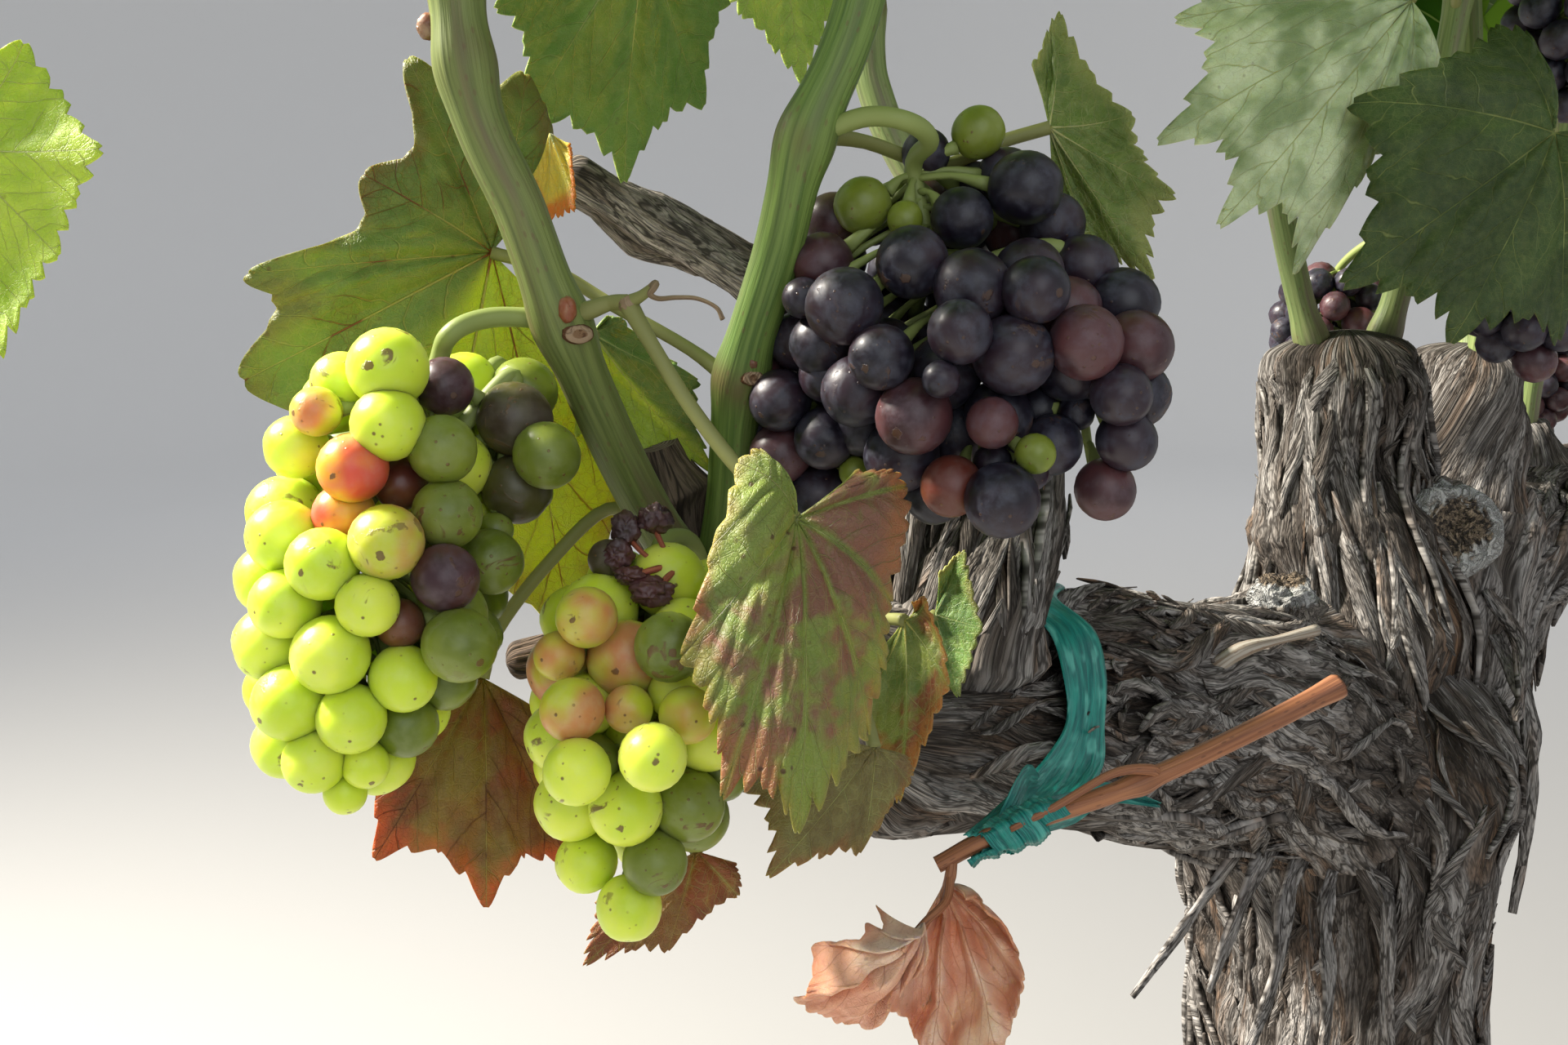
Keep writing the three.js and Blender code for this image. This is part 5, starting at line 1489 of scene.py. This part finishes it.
def packBerries(cluster):
    random = dice(cluster["seed"])
    pinned = cluster["pinned"]
    centres = [np.array(berry[:3], float) for berry in pinned]
    radii = [berry[3] for berry in pinned]
    home = [0] * len(pinned)
    lines = [partLine(part) for part in cluster["parts"]]
    widths = [part[2] for part in cluster["parts"]]
    for part, (top, _, length, axis) in enumerate(lines):
        across = unit(np.cross(np.array([0.3, 1, 0.1]), axis))
        outward = np.cross(axis, across)
        count = cluster["parts"][part][3]
        for i in range(count):
            t = 0.04 + 0.92 * (i + 0.5) / count
            turn = i * goldenAngle + 0.6 * next(random)
            small = next(random)
            radius = packing["radius"] * (0.84 + 0.28 * next(random)) * (0.6 if small < 0.09 else 1)
            spoke = across * math.cos(turn) + outward * math.sin(turn)
            centres.append(top + axis * t * length + spoke * max(girth(t, widths[part]) - radius, 0))
            radii.append(radius)
            home.append(part)
    centres, radii, home = np.array(centres), np.array(radii), np.array(home)
    free = np.arange(len(centres)) >= len(pinned)
    touching = radii[:, None] + radii[None]
    wanted = packing["spacing"] * touching
    np.fill_diagonal(wanted, 0)
    share = np.where(free, packing["free"], packing["pinned"])
    for _ in range(packing["rounds"]):
        apart = centres[None] - centres[:, None]
        distance = np.linalg.norm(apart, axis=2) + np.eye(len(centres))
        push = np.clip(wanted - distance, 0, None) / distance
        centres = centres - np.sum(apart * (push * share[None])[..., None], axis=1) * free[:, None]
        for part, (top, _, length, axis) in enumerate(lines):
            mine = (home == part) & free
            room = radii[mine] * packing["end"]
            down = np.clip((centres[mine] - top) @ axis, room, length - room)
            onAxis = top + down[:, None] * axis
            out = centres[mine] - onAxis
            out -= (out @ axis)[:, None] * axis
            reach = np.linalg.norm(out, axis=1)
            most = np.maximum(girth(down / length, widths[part]) - radii[mine], 1)
            centres[mine] = onAxis + out * np.minimum(1, most / np.maximum(reach, 1e-6))[:, None]
    ray = centres - np.array(view["eye"]) * perMetre
    away = np.linalg.norm(ray, axis=1)
    facing, spread = ray / away[:, None], radii / away
    overlap = facing @ facing.T > np.cos(packing["hiding"] * (spread[:, None] + spread[None]))
    hides = overlap & (away[:, None] < away[None] - packing["ahead"])
    keep = ~(free & hides[:, ~free].any(axis=1))
    gap = np.linalg.norm(centres[None] - centres[:, None], axis=2)
    squeezed = np.triu(gap < packing["squeezed"] * touching, 1)
    keep &= ~(free & squeezed[keep].any(axis=0))
    return centres[keep], radii[keep], home[keep]


def berryShape(around, rows):  # the flower's end up, slightly longer than wide, dimpled where its scar is
    bm = bmesh.new()
    bmesh.ops.create_uvsphere(bm, u_segments=around, v_segments=rows, radius=1)
    fromEnd = np.array([math.acos(min(max(v.co.z, -1), 1)) for v in bm.verts])
    for vertex in bm.verts:
        z = vertex.co.z
        vertex.co.z = z * 1.04 - 0.05 * max(z - 0.9, 0) / 0.1 + 0.04 * max(-z - 0.85, 0) / 0.15
    points = np.array([v.co[:] for v in bm.verts])
    faces = [[v.index for v in f.verts] for f in bm.faces]
    bm.free()
    return points, faces, fromEnd


berryShapes = {"near": berryShape(22, 16), "far": berryShape(12, 8)}


def turnTo(direction):  # three axes with the last one along direction
    ahead = unit(direction)
    first = unit(np.cross(ahead, np.array([0.31, 0.87, 0.39])))
    return np.stack([first, np.cross(ahead, first), ahead])


def ballsPiece(name, balls, shape, material):  # pressed balls as one mesh, each knowing how far its end is
    _, faces, fromEnd = shape
    joined = [[v + len(fromEnd) * k for v in face] for k in range(len(balls)) for face in faces]
    return meshPiece(name, np.vstack(balls), joined, [material], pole=np.tile(fromEnd, len(balls)))


def berrySkin(wire, given):
    blotch = wire.noise(given.Place, 75, 2, 0.5)
    veil = wire.noise(given.Place, 420, 5, 0.62)
    smear = wire.noise(given.Place, 120, 3, 0.6, 1.2)
    skin = wire.mixed(blotch.between(0.4, 0.62), given.Skin, given.Second)
    dusty = veil.between(0.3, 0.7) * smear.between(0.36, 0.58) * given.Dusty
    skin = wire.mixed(dusty, skin, given.Bloom)
    some = wire.noise(given.Place, 41, 1).between(0.47, 0.56)
    flecks = wire.cells(given.Place, 400).between(0.15, 0.07) * blotch.between(0.40, 0.50)
    marks = smear.between(0.60, 0.65) * veil.between(0.42, 0.54) * some
    spots = wire.maths("MAXIMUM", flecks * 0.85, marks)
    skin = wire.mixed(spots * given.Freckled, skin, given.Scar)
    limit = 0.03 + some * 0.06
    end = (given.Pole + (veil - 0.5) * (some * 0.5)).between(limit + 0.04, limit)
    skin = wire.mixed(end * 0.85, skin, given.Scar)
    return {"Colour": skin, "Rough": 0.34 + dusty * 0.42, "Height": spots + end}


berryEffect = effect(
    "berrySkin", berrySkin, Place=None, Pole=1.0, Skin=(0.45, 0.5, 0.1), Second=(0.5, 0.56, 0.14),
    Bloom=(0.5, 0.55, 0.4), Scar=(0.16, 0.08, 0.03), Dusty=0.4, Freckled=0.5)


def berryMaterial(name, share, reach, **colours):  # share and reach of the light under the skin
    gloss = {"roughness": 0.35, "specular": 0.45, "depth": 0.0002, "strength": 0.6}
    return skinMaterial(name, berryEffect, **gloss, through=(share, reach, 0.006), **colours)


berryLooks = {
    # Bright yellow-green: the green berries' colour, brightened to a glow as painted sunlight.
    "lime": (1.0, (1.0, 1.0, 0.3), {
        "Skin": (0.58, 0.72, 0.045), "Second": (0.72, 0.82, 0.09), "Bloom": (0.66, 0.73, 0.32),
        "Dusty": 0.22, "Freckled": 0.85}),
    # Dark grey-green: painted shade on green berries away from the light, and the own colour of the few green
    # berries in the dark clusters.
    "olive": (0.9, (0.8, 0.9, 0.25), {
        "Skin": (0.125, 0.165, 0.014), "Second": (0.20, 0.245, 0.03), "Bloom": (0.27, 0.31, 0.13),
        "Dusty": 0.36, "Freckled": 0.85}),
    "tinged": (1.0, (1.0, 0.8, 0.3), {
        "Skin": (0.54, 0.60, 0.045), "Second": (0.58, 0.25, 0.10), "Bloom": (0.62, 0.54, 0.32),
        "Dusty": 0.25, "Freckled": 0.6}),
    "blush": (0.9, (1.0, 0.4, 0.2), {
        "Skin": (0.70, 0.11, 0.06), "Second": (0.80, 0.42, 0.04), "Bloom": (0.62, 0.30, 0.26),
        "Dusty": 0.28, "Freckled": 0.3}),
    "rust": (0.4, (1.0, 0.4, 0.2), {
        "Skin": (0.12, 0.028, 0.018), "Second": (0.18, 0.07, 0.025), "Bloom": (0.19, 0.12, 0.10),
        "Dusty": 0.35, "Freckled": 0.6}),
    "murk": (0.4, (1.0, 0.6, 0.2), {
        "Skin": (0.055, 0.038, 0.022), "Second": (0.075, 0.07, 0.02), "Bloom": (0.13, 0.11, 0.085),
        "Dusty": 0.42, "Freckled": 0.7}),
    "plum": (0.3, (1.0, 0.3, 0.2), {
        "Skin": (0.045, 0.017, 0.022), "Second": (0.095, 0.033, 0.035), "Bloom": (0.135, 0.095, 0.115),
        "Dusty": 0.5, "Freckled": 0.9, "Scar": (0.10, 0.048, 0.03)}),
    "night": (0.12, (1.0, 0.3, 0.3), {
        "Skin": (0.009, 0.007, 0.014), "Second": (0.026, 0.014, 0.022), "Bloom": (0.066, 0.070, 0.10),
        "Dusty": 0.58, "Freckled": 0.9, "Scar": (0.075, 0.040, 0.026)}),
}
berryFinish = {
    key: berryMaterial(f"grape{key.title()}", share, reach, **colours)
    for key, (share, reach, colours) in berryLooks.items()
}
deals = {  # how the other berries of a cluster are dealt: kind and the share up to which it is taken
    "green": [("lime", 0.90), ("tinged", 0.97), ("olive", 1.0)],
    "dark": [("night", 0.78), ("plum", 1.0)],
    "far": [("night", 0.78), ("plum", 1.0)],
}
sunlit = np.array([-0.707, 0.707, 0.25])  # towards the key light; green berries on the far side of a cluster are dealt the dark grey-green, painted shade


def kindsOf(cluster, centres):
    random = np.random.default_rng(cluster["seed"] + 40)
    dealt = [berry[4] for berry in cluster["pinned"]]
    middle = centres.mean(axis=0)
    for centre in centres[len(dealt):]:
        roll = random.random()
        kind = next(key for key, upTo in deals[cluster["kind"]] if roll <= upTo)
        shade = -(centre - middle) @ sunlit if cluster["kind"] == "green" else 0
        # a green berry in the shade of its cluster takes the painted-shade colour
        dealt.append("olive" if shade > 15 or (shade > 9 and roll > 0.25) else kind)
    return dealt


sideDepth = np.array([4, 4, 0])  # how much deeper the side branches of a cluster lie than their berries
bunchFinish = foliageMaterial("bunchStems", (0.28, 0.34, 0.10), (0.4, 0.45, 0.12), roughness=0.5, share=0.12)


def growCluster(name, cluster):
    centres, radii, home = packBerries(cluster)
    dealt = kindsOf(cluster, centres)
    shape = berryShapes["far" if cluster["kind"] == "far" else "near"]
    lines = [partLine(part) for part in cluster["parts"]]
    stems = []
    made = {key: [] for key in sorted(set(dealt))}
    for kind, part, centre, radius in zip(dealt, home, centres, radii):
        top, _, length, axis = lines[part]
        down = float(np.clip((centre - top) @ axis - 9, 1, length * 0.94))
        root = top + axis * down + (sideDepth if part else 0)
        hung = unit(centre - root + 1e-3)
        made[kind].append(centre + (shape[0] * radius) @ turnTo(hung))
        neck = centre - hung * radius
        middle = (root + neck) / 2 + np.array([0, 0, 1.2])
        stems.append([[*root, 0.9], [*middle, 0.75], [*neck, 1.7]])
    main = max(made, key=dealt.count)
    for key, balls in made.items():
        piece = ballsPiece(f"{name}_{key}", balls, shape, berryFinish[key])
        place(piece, cluster["slot"], *([name] if key == main else []))
    axles = []
    for part, (top, foot, _, _) in enumerate(lines):
        first = [axles[0][-3]] if part else [[*p, 2.0] for p in stemPoints(cluster["stem"])]
        deep = sideDepth if part else 0
        steps = [[*(top + (foot - top) * k + deep), 1.9 - 1.3 * k] for k in (0, 0.3, 0.6, 0.92)]
        axles.append(first + steps)
    tubesPiece(f"{name}_stems", stems, bunchFinish, cluster["slot"], sides=7, rings=6)
    tubesPiece(f"{name}_stalk", axles, bunchFinish, cluster["slot"], sides=12, rings=44)


for name, cluster in clusters.items():
    growCluster(name, cluster)
print("grapes")


# The tie, the dead cane that it holds, and the dried leaf

armRadius = 33
tapeValues = {
    "left": [[-232, -3, 866], [-236, -19, 861], [-243, -29, 851], [-248, -33.5, 841], [-262, -37, 835],
             [-280, -42, 833], [-299, -48, 832.5], [-316, -54.5, 833.5]],
    "right": [[-216, -8, 865], [-217, -21, 858.5], [-224, -30, 848.5], [-231, -34.5, 837], [-240, -40, 829],
              [-262, -47, 826.5], [-286, -52, 828], [-307, -58, 829.5]],
    "width": 14, "off": 4.6, "columns": 14, "pleat": 0.45,
    "gather": [[-313, -57, 829], [-285, -48, 841]],  # where it starts, at its upper and lower edge
    "under": [[-305, -60, 828], [-280, -47, 829.5]],
    "coil": {"from": (-312, -54.5, 829.6), "to": (-297, -64, 836), "turns": 3, "off": 3.6, "half": 3.2},
    "tail": [[-296, -62, 835], [-282, -60, 833], [-268, -60, 833], [-255, -66, 828.5]],
    "tailHalf": [[0, 0, 4], [0, 0, 4], [0, 0, 2.6], [0, 0, 0.5]],
}


def tapeMaterial():
    material, wire, shader = newMaterial("tieTeal", roughness=0.3, specular=0.5)
    grain = wire.measure("Grain")
    folds = wire.noise(wire.stretched(grain, (1, 0.06, 1)), 1100, 3, 0.6)
    broad = wire.noise(wire.stretched(grain, (1, 0.3, 1)), 300, 2, 0.5)
    colour = wire.mixed(folds.between(0.35, 0.68), (0.0, 0.13, 0.12), (0.02, 0.30, 0.24))
    colour = wire.mixed(broad.between(0.52, 0.7), colour, (0.10, 0.46, 0.38))
    dress(wire, shader, colour, folds, 0.0006)
    return material


tapeFinish = tapeMaterial()


def ribbon(left, right, rows, pleat):  # a pleated strip between two edges
    t = np.linspace(0, 1, rows)
    a, b = (along([[*p, 1] for p in edge], t) for edge in (left, right))
    flow = unit(np.gradient((a + b) / 2, axis=0))
    out = unit(np.cross(unit(b - a), flow))
    way = np.concatenate([[0], np.cumsum(np.linalg.norm(np.diff((a + b) / 2, axis=0), axis=1))])
    steps = tapeValues["columns"]
    points, grain = [], []
    for j in range(steps + 1):
        share = j / steps
        fold = pleat * (-1) ** j * (0.7 + 0.5 * np.sin(way / 13 + 2 * j))
        fold = fold + 0.8 * np.sin(3.3 * share + way / 17)
        points.append(a + (b - a) * share + out * (fold * (0.3 + np.sin(math.pi * share)))[:, None])
        grain.append(np.stack([np.full(rows, share * 14), way, way * 0], axis=1))
    points, grain = (np.stack(part, axis=1).reshape(-1, 3) for part in (points, grain))
    n = steps + 1
    faces = [[n * r + j, n * r + j + 1, n * (r + 1) + j + 1, n * (r + 1) + j]
             for r in range(rows - 1) for j in range(steps)]
    return points, np.array(faces), grain


def loopOfTape():  # once round the arm, drawn up against its underside
    reach, loop = armRadius + tapeValues["off"], []
    for degrees in range(84, 348, 12):
        slant = 26 * min(degrees / 100, 1) - 0.06 * max(degrees - 100, 0) - 0.25 * max(degrees - 250, 0)
        angle = math.radians(degrees)
        snug = min(max((degrees - 120) / 100, 0), 1)
        fit, middle = reach - 3.5 * snug, headHeight + 28 + 5 * snug
        loop.append([-231 + slant, 3 - math.cos(angle) * fit, middle + math.sin(angle) * fit])
    return np.array(loop)[::-1]


def coilOfTape():  # its turns round the dead cane
    coil = tapeValues["coil"]
    start, end = np.array(coil["from"], float), np.array(coil["to"], float)
    stick = unit(end - start)
    first = unit(np.cross(stick, np.array([0, 0, 1.0])))
    turns = np.linspace(0, coil["turns"] * 2 * math.pi, 60)
    spoke = first * np.cos(turns)[:, None] + np.cross(stick, first) * np.sin(turns)[:, None]
    middle = start + (end - start) * np.linspace(0, 1, 60)[:, None]
    middle = middle + spoke * (coil["off"] + 0.5 * np.sin(5 * turns))[:, None]
    return (middle - coil["half"] * stick).tolist(), (middle + coil["half"] * stick).tolist()


def layTape():
    half, loop = tapeValues["width"] / 2, loopOfTape()
    left = tapeValues["gather"] + (loop - [half, 0, 0]).tolist() + tapeValues["left"]
    right = tapeValues["under"] + (loop + [half, 0, 0]).tolist() + tapeValues["right"]
    tail, tailHalf = np.array(tapeValues["tail"]), np.array(tapeValues["tailHalf"])
    parts = [ribbon(left, right, 210, tapeValues["pleat"]), ribbon(*coilOfTape(), 120, 0.12),
             ribbon((tail + tailHalf).tolist(), (tail - tailHalf).tolist(), 40, 0.3)]
    points, faces = joinUp([(p, f) for p, f, _ in parts])
    grain = np.vstack([g for _, _, g in parts])
    piece = meshPiece("tie_ribbon", points, faces, [tapeFinish], grain=grain / perMetre)
    thicken(piece, 0.0002)
    place(piece, "tie", "tie_tape")


layTape()
dryCane = [[-318, -49, 826, 1.8], [-307, -58, 833, 2.0], [-280, -74, 841, 2.2], [-256, -88, 851, 2.3],
           [-235, -99, 860, 2.5]]
dryFinish = shootMaterial("deadCaneSkin", Green=(0.24, 0.09, 0.04), Pale=(0.42, 0.18, 0.08),
                          Tint=(0.14, 0.05, 0.03), Wood=(0.07, 0.03, 0.02))


def growDeadCane():
    made = limb("dead_cane_stick", dryCane, upward, 24, 150)
    way, angle = made.way, made.angle
    swell = np.exp(-(((way - 50) / 3.4) ** 2)) + 0.5 * np.exp(-(((way - way.max()) / 5) ** 2))
    ridges = 0.04 * np.cos(7 * angle) + 0.02 * np.cos(13 * angle)
    radius = thickness(dryCane, made.t) * (1 + 0.36 * swell + ridges) * made.inward
    hollow = 2.4 * (made.inward < 0.5) * (made.t > 0.9)
    points = made.middle + made.spoke * radius[:, None] - made.tangent * hollow[:, None]
    bendLimb(made, points, dryFinish, wrapped(3, angle, way), knot=np.clip(0.6 * swell, 0, 1))
    limbPiece("dead_cane_stick", made.mesh, "dry_cane", "dead_cane")


growDeadCane()
twigLines = [
    [[-274, -76, 842, 1.7], [-279, -77, 845, 1.3], [-286, -72, 844.5, 1.0], [-299, -66, 838.5, 0.9],
     [-308, -61, 834.5, 0.7]],
    [[-315, -51, 828.5, 1.1], [-317, -52, 824, 1.3], [-318, -51, 819, 1.0]],
    [[-317, -52, 824, 1.1], [-321, -54, 820, 1.0], [-327, -53, 816.5, 0.9], [-333, -50, 810, 0.7]],
]
tubesPiece("dead_cane_twig", twigLines, dryFinish, "dry_cane", sides=10, rings=24)
# The palest tone, Second, is partly the dried leaf's own salmon and partly painted highlight.
dryLook = {"Blade": (0.80, 0.42, 0.28), "Second": (0.98, 0.70, 0.54), "Rib": (0.68, 0.36, 0.23),
           "Vein": (0.58, 0.26, 0.15), "Patch": (0.46, 0.16, 0.08), "Patchy": 0.3,
           "Edge": (0.46, 0.15, 0.06), "Edged": 0.5}
crumpled = {"slot": "dry_leaf", "bite": 0.014, "spokes": 36, "pleat": 0.4, "sinus": 0.05, "crumple": 4.6,
            "colours": dryLook}
dryLeaves = {
    "dry_leaf": {
        **crumpled, "at": [-318, -51, 822], "bases": ((10, 0.6), (6, 0.5)), "wave": 8, "curl": -0.3,
        "tips": [[-318, -64, 821], [-309, -67, 805], [-321, -70, 792], [-327, -57, 786], [-329, -48, 799]]},
    "dry_leaf_lobe": {
        **crumpled, "at": [-327, -53, 817], "bases": ((10, 0.7), (10, 0.7)), "wave": 6, "curl": -0.35,
        "tips": [[-339, -51, 814], [-345, -41, 807], [-347, -37, 795], [-343, -50, 790], [-333, -51, 798]]},
}
for seed, (name, leaf) in enumerate(dryLeaves.items()):
    growNearLeaf(name, leaf, 44 + seed)
print("tie, dead cane and dried leaf")

# Knobs of healed wood, buds, leaf scars and shrivelled berries: balls pressed out of round

lumpValues = {
    "burrs": [  # middle, facing, half sizes, wrinkles, hollow
        ([9, -24, 862], (-0.75, -0.62, 0.2), (21, 20, 20), 0.09, 0.3),
        ([-72, -4, 841], (-0.1, 0.1, 1), (13, 13, 13), 0.2, 0.05)],
    "scars": [([-382, -8.9, 941], (-0.25, -0.96, 0), (3.4, 2.1, 1.3), 0.06, 0.2),
              ([-344.3, -18.8, 931.5], (-0.4, -0.92, 0), (2.6, 1.9, 1.3), 0.08, 0.2)],
    "buds": [([-384.2, -8.5, 945.8], (-0.36, -0.93, 0.25), (1.9, 2.9, 2.2), 0.08, 0),
             ([-344.3, -18.6, 935], (-0.4, -0.92, 0.3), (1.6, 2.1, 1.9), 0.08, 0),
             ([-401.6, 9.6, 999], (-0.7, 0.55, 0.45), (1.7, 2.7, 2.4), 0.08, 0)],
    "raisins": [([-378, -18, 903], (-0.5, -0.6, 0.6), (3.0, 4.0, 2.6), 0.22, 0),
                ([-374, -22, 905], (0.2, -0.6, 0.7), (4.2, 3.4, 3.0), 0.24, 0),
                ([-382, -24, 895], (-0.8, -0.4, 0.1), (3.6, 2.0, 2.4), 0.22, 0),
                ([-380, -28, 892], (-0.7, -0.6, -0.2), (4.6, 3.2, 3.0), 0.26, 0),
                ([-381, -19, 898], (-0.7, -0.5, 0.2), (3.4, 3.6, 3.0), 0.2, 0)],
}


def lump(at, towards, sizes, wrinkles, hollow, seed, shape):
    ahead = unit(np.array(towards, float))
    right = unit(np.cross(np.array([0, 0, 1.0]), ahead))
    points, _, fromEnd = shape
    way = unit(points)
    folds = np.abs(noiseAt(way * 5 + seed, seed + 1))
    swell = 1 + wrinkles * (noiseAt(way * 2.3 + seed, seed) - 1.4 * folds)
    swell += hollow * (0.4 * np.exp(-(((fromEnd - 0.85) / 0.22) ** 2)) - np.exp(-((fromEnd / 0.5) ** 2)))
    turned = np.stack([right, np.cross(ahead, right), ahead])
    return np.array(at) + (way * swell[:, None] * sizes) @ turned


def lumpsPiece(kind, name, material, slot, around, rows, *nodes):
    shape = berryShape(around, rows)
    balls = [lump(*values, 5 + k, shape) for k, values in enumerate(lumpValues[kind])]
    return place(ballsPiece(name, balls, shape, material), slot, *nodes)


def woundSkin(wire, given):
    folds = wire.noise(given.Place, 150, 3, 0.6, 1.6)
    grainy = wire.noise(given.Place, 600, 4, 0.65)
    edge = given.Pole + (folds - 0.5) * 0.7
    colour = wire.mixed(grainy.between(0.42, 0.58), given.Hollow, given.Wood)
    colour = wire.mixed(edge.between(given.Inner, given.Inner + 0.12), colour, given.Callus)
    colour = wire.mixed(edge.between(given.Outer, given.Outer + 0.2), colour, given.Rim)
    ridge = abs(folds - 0.5)
    colour = wire.mixed(ridge.between(0.03, 0.0) * 0.7, colour, given.Hollow)
    return {"Colour": colour, "Height": ridge.between(0.0, 0.1) + grainy}


woundEffect = effect(
    "woundSkin", woundSkin, Place=None, Pole=1.0, Inner=0.6, Outer=1.25, Hollow=(0.045, 0.037, 0.032),
    Wood=(0.30, 0.23, 0.16), Callus=(0.47, 0.47, 0.455), Rim=(0.25, 0.22, 0.19))


def woundMaterial(name, depth, **values):
    return skinMaterial(name, woundEffect, roughness=0.85, specular=0.2, depth=depth, **values)


burrFinish = woundMaterial("healedWood", 0.0016)
scarFinish = woundMaterial("leafScar", 0.0003, Inner=0.35, Outer=0.85, Hollow=(0.10, 0.05, 0.025),
                           Wood=(0.22, 0.13, 0.07), Callus=(0.34, 0.24, 0.15), Rim=(0.12, 0.055, 0.025))
budFinish = berryMaterial("budScales", 0.1, (1.0, 0.4, 0.2), Skin=(0.26, 0.075, 0.03),
                          Second=(0.11, 0.045, 0.025), Bloom=(0.42, 0.30, 0.18), Dusty=0.6, Freckled=0.8)
raisinFinish = berryMaterial("grapeRaisin", 0.05, (1.0, 0.3, 0.2), Skin=(0.035, 0.017, 0.018),
                             Second=(0.09, 0.03, 0.028), Bloom=(0.14, 0.10, 0.11), Dusty=0.4, Freckled=0.8)
lumpsPiece("burrs", "head_burr_knob", burrFinish, "old_bark", 96, 64, "head_burr")
lumpsPiece("scars", "leaf_scars", scarFinish, "foliage", 32, 20)
lumpsPiece("buds", "cane_buds", budFinish, "foliage", 28, 20)
lumpsPiece("raisins", "shrivelled_berries", raisinFinish, "grape_dark", 40, 26)

stalkRed = shootMaterial(
    "stalkRed", Green=(0.28, 0.05, 0.03), Pale=(0.42, 0.14, 0.06), Tint=(0.16, 0.04, 0.03))
tendrilBrown = shootMaterial(
    "tendrilBrown", Green=(0.20, 0.13, 0.07), Pale=(0.33, 0.24, 0.14), Tint=(0.12, 0.07, 0.045))
twigPale = shootMaterial(
    "twigPale", Green=(0.22, 0.17, 0.12), Pale=(0.44, 0.40, 0.34), Tint=(0.20, 0.11, 0.05))
smallStems = {  # slot, sides, rings, material and lines
    "raisin_stalks": ("grape_green", 8, 10, stalkRed, [
        [[-378, -19, 901, 0.6], [-377, -23, 898, 0.5], [-374, -26, 896, 0.8]],
        [[-374, -22, 903, 0.6], [-374, -25, 899, 0.5], [-373, -27, 896, 0.8]],
        [[-382, -25, 895, 0.6], [-378, -27, 896, 0.7], [-374, -27, 896, 0.9]],
        [[-379, -29, 893, 0.7], [-376, -29, 895, 0.7], [-373, -28, 896, 0.9]],
        [[-374, -27, 896, 1.3], [-371, -25, 894, 1.5], [-368, -20, 893, 1.6]]]),
    "tendril_green": ("foliage", 10, 30, stalkFinish, [
        [("cane_left_front", 944, 2.2), [-379.5, -9, 945.5, 1.9], [-377, -13, 947, 1.5],
         [-376, -17, 947, 1.7]],
        [[-376, -17, 947, 1.5], [-375.5, -20.5, 948.3, 1.1], [-375, -23.5, 950, 0.9]]]),
    "tendril_dry": ("foliage", 8, 60, tendrilBrown, [
        [[-375, -23, 949.8, 0.9], [-375.3, -24.6, 950.6, 0.8], [-376.2, -25.2, 949.8, 0.7],
         [-376.6, -24.6, 948.6, 0.6], [-376, -26.5, 947.8, 0.5], [-375.6, -31, 948, 0.45],
         [-374.4, -35.5, 947.8, 0.42], [-373.4, -39.6, 946.2, 0.4], [-373, -41, 944, 0.5]],
        [[-376, -17, 947.4, 2.0], [-376, -17.6, 946.6, 2.1], [-375.9, -18.2, 945.8, 1.8]]]),
    "arm_twig": ("old_bark", 14, 20, twigPale, [
        [[-154, -22, 837, 2.6], [-149, -29, 843, 2.5], [-133, -32, 844, 1.4], [-115, -36, 845, 1.9]],
        [[-240, 8, 862, 1.2], [-238, 6, 872, 0.8], [-239, 3, 880, 0.5]]]),
}
for name, (slot, sides, rings, material, lines) in smallStems.items():
    lines = [[[*onCane(*p[:2]), p[2]] if isinstance(p, tuple) else p for p in line] for line in lines]
    tubesPiece(name, lines, material, slot, sides=sides, rings=rings)
leafBit = {
    "slot": "leaf_yellow", "at": [-359, 30, 984], "bases": ((24, 0.6), (24, 0.6)), "wave": 1.2, "sinus": 0.1,
    "tips": [[-357.5, 24, 977], [-360, 20, 967], [-363, 27, 964]],
    "colours": {"Blade": (0.42, 0.45, 0.04), "Second": (0.66, 0.46, 0.05), "Vein": (0.40, 0.12, 0.03),
                "Edge": (0.62, 0.14, 0.02), "Edged": 0.9},
}
growNearLeaf("leaf_bit", leafBit, 51)
print("small parts")
